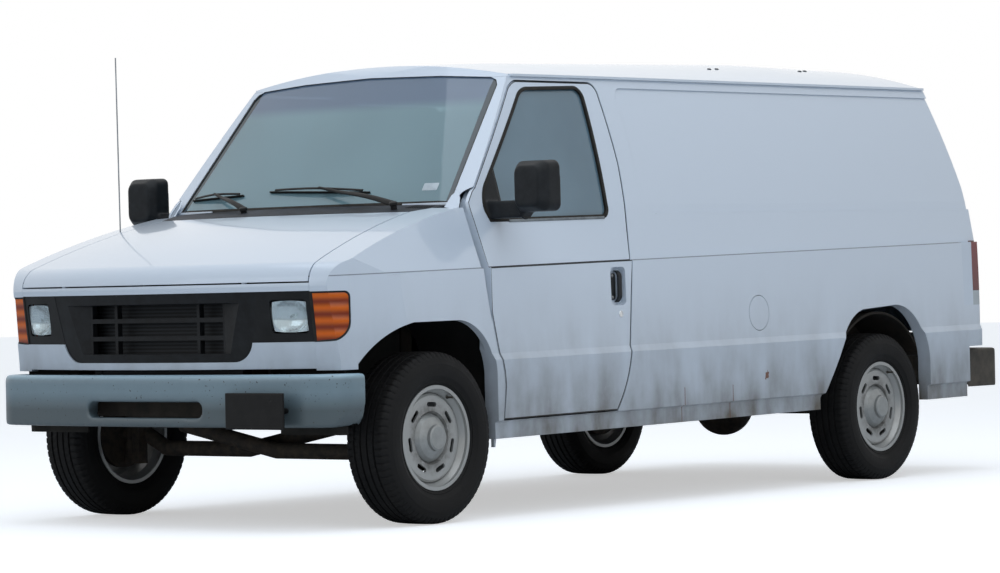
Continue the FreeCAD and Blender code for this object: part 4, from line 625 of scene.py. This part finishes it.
# Nose. The grille and the lamp plates are charcoal plastic mouldings clipped to the front panel. Each
# headlamp is a fluted clear pane over a bright bowl, and the turn lamp beside it is amber all through.
dress(worn("grille_plastic", ("#0a0c0f", "#13171b"), 0.05, 0.0012, 0.00012, 0.45, dust=0.05), "grille")
dress(worn("bezel_plastic", ("#0e1012", "#16181b"), 0.07, 0.0012, 0.00012, 0.45, dust=0.05), "lamp_bezels")

LENS_COLUMNS = 48
LENS_ROWS = 30


def hazed(name, settings, scale, detail, low, high):
    """A bright or clear material whose gloss drifts between two roughnesses, as a film of dust makes it."""
    made, tree, shader, where = finish(name, settings)
    haze = add(tree, "TexNoise", {"Scale": scale, "Detail": detail}, Vector=where)
    join(shader, Roughness=add(tree, "MapRange", {"To Min": low, "To Max": high}, Value=haze))
    return made


# Clear acrylic with a thin milky haze, over a bowl of plastic coated with aluminium: bright, not a mirror
lens_pane = hazed("lens_pane", {"Base Color": linear("#e6eef0"), "IOR": 1.49, "Transmission Weight": 0.96},
                  25.0, 4.0, 0.03, 0.22)
bright_bowl = hazed("bright_bowl", {"Base Color": linear("#dfe2e4"), "Metallic": 1.0}, 60.0, 3.0, 0.10, 0.28)

FLUTE_DEEP = 0.0007
BOWL_DEEP = 0.030
BULB = [(0.0, 0.0004), (0.001, 0.004), (0.006, 0.0062), (0.018, 0.0062), (0.020, 0.009), (0.026, 0.009),
        (0.026, 0.0004)]
PANE_INNER = 0.6425
PANE_RIM = (0.0025, 0.008)          # left free beside the pane's outer edge, and above and below it
low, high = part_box("headlamps")
outer = high.x - PANE_RIM[0]
mid_x, half_x = (PANE_INNER + outer) / 2, (outer - PANE_INNER) / 2
mid_z, half_z = (low.z + high.z) / 2, (high.z - low.z - PANE_RIM[1]) / 2
grid = [(2 * c / LENS_COLUMNS - 1, 2 * r / LENS_ROWS - 1)
        for r in range(LENS_ROWS + 1) for c in range(LENS_COLUMNS + 1)]
m, n = LENS_COLUMNS + 1, len(grid)
cells = [(r * m + c, r * m + c + 1, (r + 1) * m + c + 1, (r + 1) * m + c)
         for r in range(LENS_ROWS) for c in range(LENS_COLUMNS)]
rim = ([c for c in range(m)] + [r * m + m - 1 for r in range(1, LENS_ROWS + 1)]
       + [LENS_ROWS * m + c for c in reversed(range(m - 1))] + [r * m for r in reversed(range(1, LENS_ROWS))])
faces = cells + [tuple(n + i for i in reversed(cell)) for cell in cells]
faces += [(rim[i - 1], rim[i], n + rim[i], n + rim[i - 1]) for i in range(len(rim))]
for side, sign in SIDES:
    # The grid's corners are drawn in to the pane's rounded ones
    front = [skin("headlamps", (sign * (mid_x + half_x * u * math.sqrt(1 - 0.16 * v * v)), -4.0,
                                mid_z + half_z * v * math.sqrt(1 - 0.16 * u * u)), (0, 1, 0))[0]
             for u, v in grid]
    verts = [v + Vector((0, 0.0005, 0)) for v in front]
    verts += [v + Vector((0, 0.0035 + FLUTE_DEEP * abs(math.sin(math.pi * (i % m) / 4)), 0))
              for i, v in enumerate(front)]
    lens = piece("headlamp_lens_" + side, (verts, faces), lens_pane, "body")
    # Bowl: a rounded rectangle that deepens to the bulb, like a shallow paraboloid
    bowl = [spot + Vector((0, BOWL_DEEP * (1 - min(1.0, abs(u) ** 2.6 + abs(v) ** 2.6)) + 0.007, 0))
            for spot, (u, v) in zip(front, grid)]
    verts = bowl + [v + Vector((0, 0.002, 0)) for v in bowl]
    piece("headlamp_bowl_" + side, (verts, faces), bright_bowl, "body")
    middle = front[(LENS_ROWS // 2) * m + LENS_COLUMNS // 2]
    piece("headlamp_bulb_" + side, lathe(BULB, middle + Vector((0, 0.011, 0)), (0, 1, 0), 24), lens_pane,
          "body")
    if sign > 0:
        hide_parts("headlamps")

# Amber acrylic, cast with broad level flutes, painted in dark and bright orange bands along them: painted
# shade and painted glow
AMBER_FLUTE = 0.05236
amber, tree, shader, where = finish("amber_acrylic", {"Roughness": 0.16, "IOR": 1.42,
                                                      "Transmission Weight": 0.1})
wave = add(tree, "TexWave", {"bands_direction": "Z", "Scale": BAND / AMBER_FLUTE}, Vector=where)
tone = add(tree, "Mix", {"data_type": "RGBA", "A": linear("#8c2e00"), "B": linear("#e86a00")},
           Factor=wave.outputs["Fac"])
join(shader, Base_Color=tone)
bump = add(tree, "Bump", {"Distance": 0.0012}, Height=wave.outputs["Fac"])
join(shader, Normal=bump)
dress(amber, "turn_lamps")
for side, sign in SIDES:
    for number, line in enumerate(edge_loops("turn_lamps", (sign * 0.6, -0.8, 0), 0.3)):
        if len(line) > 8 and line[0][0].x * sign > 0:
            piece("turn_lamp_gasket_%s_%d" % (side, number), swept(line, strip(0.014, 0.0022)), black_rubber,
                  "body")


# Bumpers. Steel pressings on brackets from the frame. The front one is sprayed argent blue grey, with a
# painted highlight on its rolled top and painted shade on its lower half, and the rear one has gone dark. The
# blank bracket at the front would take a plate.
bumper_paint, tree, shader, where = finish("bumper_enamel", {"Metallic": 0.15, "Coat Weight": 0.3})
facing = add(tree, "NewGeometry")
face = add(tree, "SeparateXYZ", Vector=facing.outputs["Normal"])
# Painted highlight: faces that look up are painted paler
up = add(tree, "MapRange", {"From Min": 0.1, "From Max": 0.9}, Value=face.outputs["Z"])
drift = add(tree, "TexNoise", {"Scale": 7.0, "Detail": 8.0, "Roughness": 0.65}, Vector=where)
plain = add(tree, "Mix", {"data_type": "RGBA", "A": linear("#6a7d86"), "B": linear("#7c9098")}, Factor=drift)
painted_top_light = add(tree, "Mix", {"data_type": "RGBA", "B": linear("#a5c1ce")}, Factor=up, A=plain)
chips = add(tree, "TexNoise", {"Scale": 90.0, "Detail": 3.0}, Vector=where)
chipped = add(tree, "MapRange", {"From Min": 0.68, "From Max": 0.71}, Value=chips)
parts = add(tree, "SeparateXYZ", Vector=where)
# Painted shade: the lower half turns under and is painted darker there
painted_under_shade = add(tree, "MapRange", {"From Min": 0.50, "From Max": 0.575, "To Min": 0.85, "To Max": 0.0},
            Value=parts.outputs["Z"])
with_painted_shade = add(tree, "Mix", {"data_type": "RGBA", "B": linear("#434c4e")}, Factor=painted_under_shade, A=painted_top_light)
bare = add(tree, "Mix", {"data_type": "RGBA", "B": linear("#33302d")}, Factor=chipped, A=with_painted_shade)
join(shader, Base_Color=bare)
dull = add(tree, "MapRange", {"To Min": 0.38, "To Max": 0.62}, Value=drift)
join(shader, Roughness=dull)
dress(bumper_paint, "front_bumper")


def soften(name, voxel, rounds):
    """Rounds a carried-over node's edges with modifiers, as a moulding or a pressing has them."""
    remesh = nodes[name].modifiers.new("remesh", "REMESH")
    remesh.mode = "VOXEL"
    remesh.voxel_size = voxel
    remesh.use_smooth_shade = True
    smooth = nodes[name].modifiers.new("smooth", "SMOOTH")
    smooth.factor = 0.5
    smooth.iterations = rounds


soften("rear_bumper", 0.008, 10)
soften("front_bumper", 0.0065, 12)
dress(worn("dark_bumper", ("#262422", "#3a3531"), 0.08, 0.002, 0.0003, 0.5, dust=0.5, dust_top=0.7),
      "rear_bumper")

bracket_black = worn("bracket_black", ("#050506", "#0c0c0d"), 0.05, 0.0012, 0.0001, 0.4, dust=0.02)
dress(bracket_black, "plate_bracket")
soften("plate_bracket", 0.003, 3)


# Front doors. Each has a black pull in a pressed pocket, a lock below it, a mirror on a plate in the
# window's corner, and a bright strip along the sill that wipes the glass.
RAKE = math.radians(0.69)
FRONT_AXLE = AXLES[0][1]


def on_body(x, y, z):
    """Millimetres on the raked body, measured from the front axle, as a place in the frame."""
    return Vector((x / 1000, FRONT_AXLE + (y * math.cos(RAKE) - z * math.sin(RAKE)) / 1000,
                   (y * math.sin(RAKE) + z * math.cos(RAKE)) / 1000))


handle_black = worn("handle_black", ("#14171a", "#22262a"), 0.03, 0.001, 0.0001, 0.42, dust=0.08)
chrome = hazed("chrome", {"Base Color": linear("#c9ccce"), "Metallic": 1.0}, 200.0, 3.0, 0.12, 0.3)
mirror_shell = worn("mirror_shell", ("#14171a", "#1e2124"), 0.06, 0.0011, 0.00012, 0.45, dust=0.03)
sill_steel = worn("sill_steel", ("#5e656a", "#767e83"), 0.06, 0.001, 0.00005, 0.4, Metallic=0.8)
zinc = worn("zinc_screws", ("#8d8f90", "#6d6f70"), 0.01, 0.0008, 0.0001, 0.4, Metallic=1.0)
SCREW = [(-0.002, 0.0004), (-0.002, 0.0075), (0.0015, 0.0072), (0.0030, 0.0055), (0.0036, 0.0004)]
LOCK = [(-0.002, 0.0004), (-0.002, 0.015), (0.0015, 0.015), (0.003, 0.0135), (0.003, 0.0115), (0.0012, 0.011),
        (0.0012, 0.004), (0.0006, 0.0035), (0.0006, 0.0004)]
MIRROR_HALF = 0.090
# Places on the raked body in millimetres, as on_body takes them. BESIDE is clear of the body's side.
BESIDE = 1500
HANDLE = (1300, 965)
KEYHOLE = (1305, 842)
MIRROR_GLASS = (570.4, 1410)
PIVOT = (1072, 529, 1314)
STRIP_ENDS = ((612, 1266), (1268, 1274))
COLLAR = [(-0.008, 0.030), (-0.008, 0.043), (0.0, 0.046), (0.008, 0.043), (0.008, 0.030)]
for name in ("left_mirror", "right_mirror"):
    dress(mirror_shell, name)
    soften(name, 0.005, 14)

UP = Vector((0, -math.sin(RAKE), math.cos(RAKE)))
BACK = Vector((0, math.cos(RAKE), math.sin(RAKE)))


def bar(points, wide, deep, rows=4):
    """Corners and faces of a rounded bar, wide across and deep outwards, along points and normals."""
    section = []
    for i in range(4 * rows):
        turn = 2 * math.pi * (i + 0.5) / (4 * rows)
        c, s = math.cos(turn), math.sin(turn)
        section.append((wide / 2 * math.copysign(abs(c) ** 0.5, c),
                        deep / 2 * math.copysign(abs(s) ** 0.5, s)))
    return swept(points, section, closed=False)


def pull(body, foot, up, normal, tall):
    """A bowed bar that stands off its panel, with both ends turned in."""
    line = []
    for i in range(17):
        t = i / 16 - 0.5
        reach = 0.020 * min(1.0, (1 - (2 * abs(t)) ** 6) * 1.05) + 0.003
        line.append((foot + up * (t * tall) + normal * reach, normal))
    piece(body + "_pull", bar(line, 0.030, 0.010), handle_black, body)


for side, sign in SIDES:
    body = side + "_door"
    out = Vector((sign, 0, 0))
    pocket, normal = skin(body, on_body(sign * BESIDE, *HANDLE), -out)
    card(body + "_handle_mount", pocket - normal * 0.001 + BACK * (-0.018), 0.038, 0.118, 0.013,
         BACK * sign, UP, handle_black, body, corner=0.3)
    for number, rise in enumerate((0.048, -0.048)):
        place = pocket + normal * 0.0125 + BACK * (-0.026) + UP * rise
        piece(body + "_handle_screw_%d" % (number + 1), lathe(SCREW, place, normal, 18), zinc, body)
    pull(body, pocket + BACK * 0.014, UP, normal, 0.142)
    spot, normal = skin(body, on_body(sign * BESIDE, *KEYHOLE), -out)
    piece(body + "_lock", lathe(LOCK, spot, normal, 32), chrome, body)
    # Mirror glass and pivot collar
    low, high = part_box(side + "_mirror")
    middle = high.x - MIRROR_HALF if sign > 0 else low.x + MIRROR_HALF
    card(side + "_mirror_glass", on_body(middle * 1000, *MIRROR_GLASS), 0.156, 0.196, 0.0022, (-1, 0, 0), UP,
         bright_bowl, body, corner=0.13)
    pivot = on_body(sign * PIVOT[0], *PIVOT[1:])
    piece(side + "_mirror_collar", lathe(COLLAR, pivot, out, 36), mirror_shell, body)
    # Sill strip: from behind the mirror's plate to the rear of the window
    seal = []
    (first_y, first_z), (last_y, last_z) = STRIP_ENDS
    for i in range(25):
        y = first_y + (last_y - first_y) * i / 24
        z = first_z + (last_z - first_z) * i / 24
        spot, normal = skin(body, on_body(sign * BESIDE, y, z), -out)
        seal.append((spot + normal * 0.001, normal))
    piece(body + "_sill_strip", bar(seal, 0.012, 0.006), sill_steel, body)


# Cargo and rear doors. The passenger's side has two leaves and the tail has two, all of painted sheet.
# The leaf of each pair that opens first has a black pull on a round-cornered escutcheon, and a lock.
for body, start, way in (("side_door_front", on_body(-BESIDE, 2120, 960), (1, 0, 0)),
                         ("rear_door_right", on_body(-95, 6000, 1000), (0, -1, 0))):
    spot, normal = skin(body, start, way)
    up = (UP - normal * UP.dot(normal)).normalized()
    aside = up.cross(normal).normalized()
    card(body + "_escutcheon", spot - normal * 0.001, 0.085, 0.150, 0.005, aside, up, handle_black, body,
         corner=0.22)
    pull(body, spot, up, normal, 0.118)
    piece(body + "_lock", lathe(LOCK, spot - up * 0.105, normal, 32), chrome, body)


# Tail lamps. Moulded acrylic in the tail's corners, red over a clear reversing lamp, with upright
# flutes. On the side only the last few centimetres are acrylic, and the rest of the housing is painted.
TAIL_FLUTE = 0.02618
tail, tree, shader, where = finish("tail_acrylic", {"Roughness": 0.14, "IOR": 1.49})
parts = add(tree, "SeparateXYZ", Vector=where)
red = add(tree, "MapRange", {"From Min": 0.924, "From Max": 0.927}, Value=parts.outputs["Z"])
wave = add(tree, "TexWave", {"bands_direction": "X", "Scale": BAND / TAIL_FLUTE}, Vector=where)
tone = add(tree, "Mix", {"data_type": "RGBA", "A": linear("#5e0f18"), "B": linear("#8c1c26")},
           Factor=wave.outputs["Fac"])
lamp_colour = add(tree, "Mix", {"data_type": "RGBA", "A": linear("#c3cacd")}, Factor=red, B=tone)
acrylic = add(tree, "MapRange", {"From Min": 2.398, "From Max": 2.400}, Value=parts.outputs["Y"])
lamp_colour = add(tree, "Mix", {"data_type": "RGBA", "A": linear(WHITE)}, Factor=acrylic, B=lamp_colour)
clear = add(tree, "MapRange", {"To Max": 0.2}, Value=acrylic)
join(shader, Transmission_Weight=clear)
join(shader, Base_Color=lamp_colour)
bump = add(tree, "Bump", {"Distance": 0.001}, Height=wave.outputs["Fac"])
join(shader, Normal=bump)
dress(tail, "tail_lamps")


# Cowl, wipers and aerial. A black plastic cowl with an air inlet at the driver's end, pressed steel
# wiper arms on splined pivots, each with a bowed bridge and a rubber blade, and a steel whip aerial.
dress(worn("cowl_plastic", ("#161a20", "#252b35"), 0.09, 0.0014, 0.0002, 0.55, dust=0.04, dust_top=1.4),
      "cowl_panel")
dress(worn("whip_steel", ("#8b9095", "#6f7377"), 0.1, 0.001, 0.00002, 0.3, Metallic=1.0), "aerial")
slat_black = worn("slat_black", ("#0d0f11", "#15181b"), 0.03, 0.001, 0.0001, 0.6)
for number in range(9):
    x = 0.640 + number * 0.0132
    slat = []
    for i in range(9):
        spot, normal = skin("cowl_panel", (x, -1.70 + 0.008 * i, 3.0), (0, 0, -1))
        slat.append((spot + normal * 0.0006, normal))
    piece("cowl_slat_%d" % (number + 1), bar(slat, 0.0075, 0.0022), slat_black, "body")


def on_screen(x, z, lift):
    """A place on the windscreen's outside, straight ahead of (x, z), lifted off along its normal."""
    spot, normal = skin("windscreen_glass", (x, -4.0, z), (0, 1, 0))
    return spot + normal * lift, normal


HUB = [(-0.030, 0.0004), (-0.030, 0.014), (0.014, 0.014), (0.018, 0.019), (0.028, 0.018), (0.032, 0.012),
       (0.033, 0.0004)]
wiper_steel = worn("wiper_steel", ("#0f1113", "#1b1d1f"), 0.04, 0.001, 0.00008, 0.45, dust=0.1)
for name, pivot, hump, ends, rise in (
        ("driver", (0.605, -1.7378, 1.332), 0.081, (-0.235, 0.355), (1.428, 1.408)),
        ("passenger", (-0.255, -1.7478, 1.334), -0.575, (-0.745, -0.400), (1.405, 1.418))):
    left, right = ends
    blade = []
    bridge = []
    for i in range(33):
        t = i / 32
        x = left + (right - left) * t
        z = rise[0] + (rise[1] - rise[0]) * t
        blade.append(on_screen(x, z, 0.006))
        bow = 1 - abs(2 * t - 1) ** 1.5
        bridge.append(on_screen(x, z + 0.004, 0.012 + 0.016 * bow))
    piece(name + "_wiper_blade", bar(blade, 0.006, 0.012), black_rubber, "body")
    piece(name + "_wiper_bridge", bar(bridge[2:-2], 0.010, 0.006), wiper_steel, "body")
    start = Vector(pivot) + Vector((0, 0, 0.022))
    end, normal = on_screen(hump, (rise[0] + rise[1]) / 2 + 0.004, 0.032)
    arm = []
    for i in range(13):
        t = i / 12
        lift = 0.014 * math.sin(math.pi * min(1.0, t * 1.4))
        arm.append((start.lerp(end, t) + normal * lift, normal))
    verts = []
    for i, (spot, out) in enumerate(arm):
        half = 0.013 - 0.008 * i / 12
        aside = (end - start).normalized().cross(out).normalized()
        verts += [spot + aside * a + out * b for a, b in
                  ((-half, -0.004), (half, -0.004), (half, 0.002), (half * 0.5, 0.005), (-half * 0.5, 0.005),
                   (-half, 0.002))]
    faces = [(i * 6 + j, i * 6 + (j + 1) % 6, (i + 1) * 6 + (j + 1) % 6, (i + 1) * 6 + j)
             for i in range(12) for j in range(6)]
    faces += [tuple(range(6)), tuple(range(72, 78))]
    piece(name + "_wiper_arm", (verts, faces), wiper_steel, "body")
    hub = piece(name + "_wiper_hub", lathe(HUB, pivot, (0, -0.2, 1), 28), wiper_steel, "body")
    if name == "driver":
        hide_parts("wipers")


# Cab. Woven grey cloth over foam on the seats, stretched tight and pulled down along sewn channels,
# and grained grey plastic mouldings for the dash, the engine's cover and the steering wheel.
SEAT_HALF = 0.480
CHANNELS = (-0.155, -0.052, 0.052, 0.155)
CHANNEL_DEEP = 0.009
CHANNEL_WIDE = 0.011
PADDING = 0.010
PUFF_MOST = 0.012
HEADREST = 1.50
# The cloth's threads are drawn coarser than real ones, so that the weave shows
THREAD = 0.00748
cloth, tree, shader, where = finish("seat_cloth", {"Roughness": 0.9, "Sheen Weight": 0.35,
                                                   "Sheen Roughness": 0.5})
warp = add(tree, "TexWave", {"bands_direction": "X", "Scale": BAND / THREAD}, Vector=where)
weft = add(tree, "TexWave", {"bands_direction": "Z", "Scale": BAND / THREAD}, Vector=where)
weave = add(tree, "Math", {"operation": "MULTIPLY"}, _0=warp.outputs["Fac"], _1=weft.outputs["Fac"])
tone = add(tree, "Mix", {"data_type": "RGBA", "A": linear("#43474c"), "B": linear("#70757b")}, Factor=weave)
join(shader, Base_Color=tone)
bump = add(tree, "Bump", {"Distance": 0.0006}, Height=weave)
join(shader, Normal=bump)

source = bpy.data.meshes.new("seat_start")
shape = bmesh.new()
shape.from_mesh(nodes["seats"].data)
bmesh.ops.remove_doubles(shape, verts=shape.verts, dist=2e-5)
shape.to_mesh(source)
shape.free()
cushions = bpy.data.objects.new("seat_cushions", source)
bpy.context.scene.collection.objects.link(cushions)
bpy.context.view_layer.objects.active = cushions
cushions.select_set(True)
remesh = cushions.modifiers.new("remesh", "REMESH")
remesh.mode = "VOXEL"
remesh.voxel_size = 0.014
slimmer = cushions.modifiers.new("slimmer", "DISPLACE")
slimmer.strength = -PADDING
slimmer.mid_level = 0.0
for name in ("remesh", "slimmer"):
    bpy.ops.object.modifier_apply(modifier=name)
start = [v.co.copy() for v in cushions.data.vertices]
# Foam pressing out against the cover
puff = cushions.modifiers.new("puff", "CLOTH")
puff.settings.use_pressure = True
puff.settings.uniform_pressure_force = 4.0
puff.settings.effector_weights.gravity = 0.0
for number in range(1, 21):
    bpy.context.scene.frame_set(number)
bpy.ops.object.modifier_apply(modifier="puff")
bpy.context.scene.frame_set(1)
for vertex, place in zip(cushions.data.vertices, start):
    shift = vertex.co - place
    if shift.length > PUFF_MOST:
        shift *= PUFF_MOST / shift.length
    vertex.co = place + shift
# Sewn channels, up the back and along the cushion of both seats
for vertex in cushions.data.vertices:
    across_seat = abs(vertex.co.x) - SEAT_HALF
    near = min(abs(across_seat - c) for c in CHANNELS)
    if (vertex.normal.z > 0.35 or vertex.normal.y < -0.35) and vertex.co.z < HEADREST:
        vertex.co -= vertex.normal * CHANNEL_DEEP * math.exp(-(near / CHANNEL_WIDE) ** 2)
finer = cushions.modifiers.new("finer", "SUBSURF")
finer.levels = 1
finer.render_levels = 1
bpy.ops.object.modifier_apply(modifier="finer")
cushions.data.shade_smooth()
cushions.data.materials.clear()
cushions.data.materials.append(cloth)
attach(cushions, "body")
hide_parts("seats")

dress(worn("cabin_grey", ("#3d4146", "#4b4f55"), 0.2, 0.0016, 0.00018, 0.6), "dashboard")
dress(worn("wheel_grip", ("#1d1f22", "#2a2d30"), 0.05, 0.0012, 0.0002, 0.5), "steering_wheel")
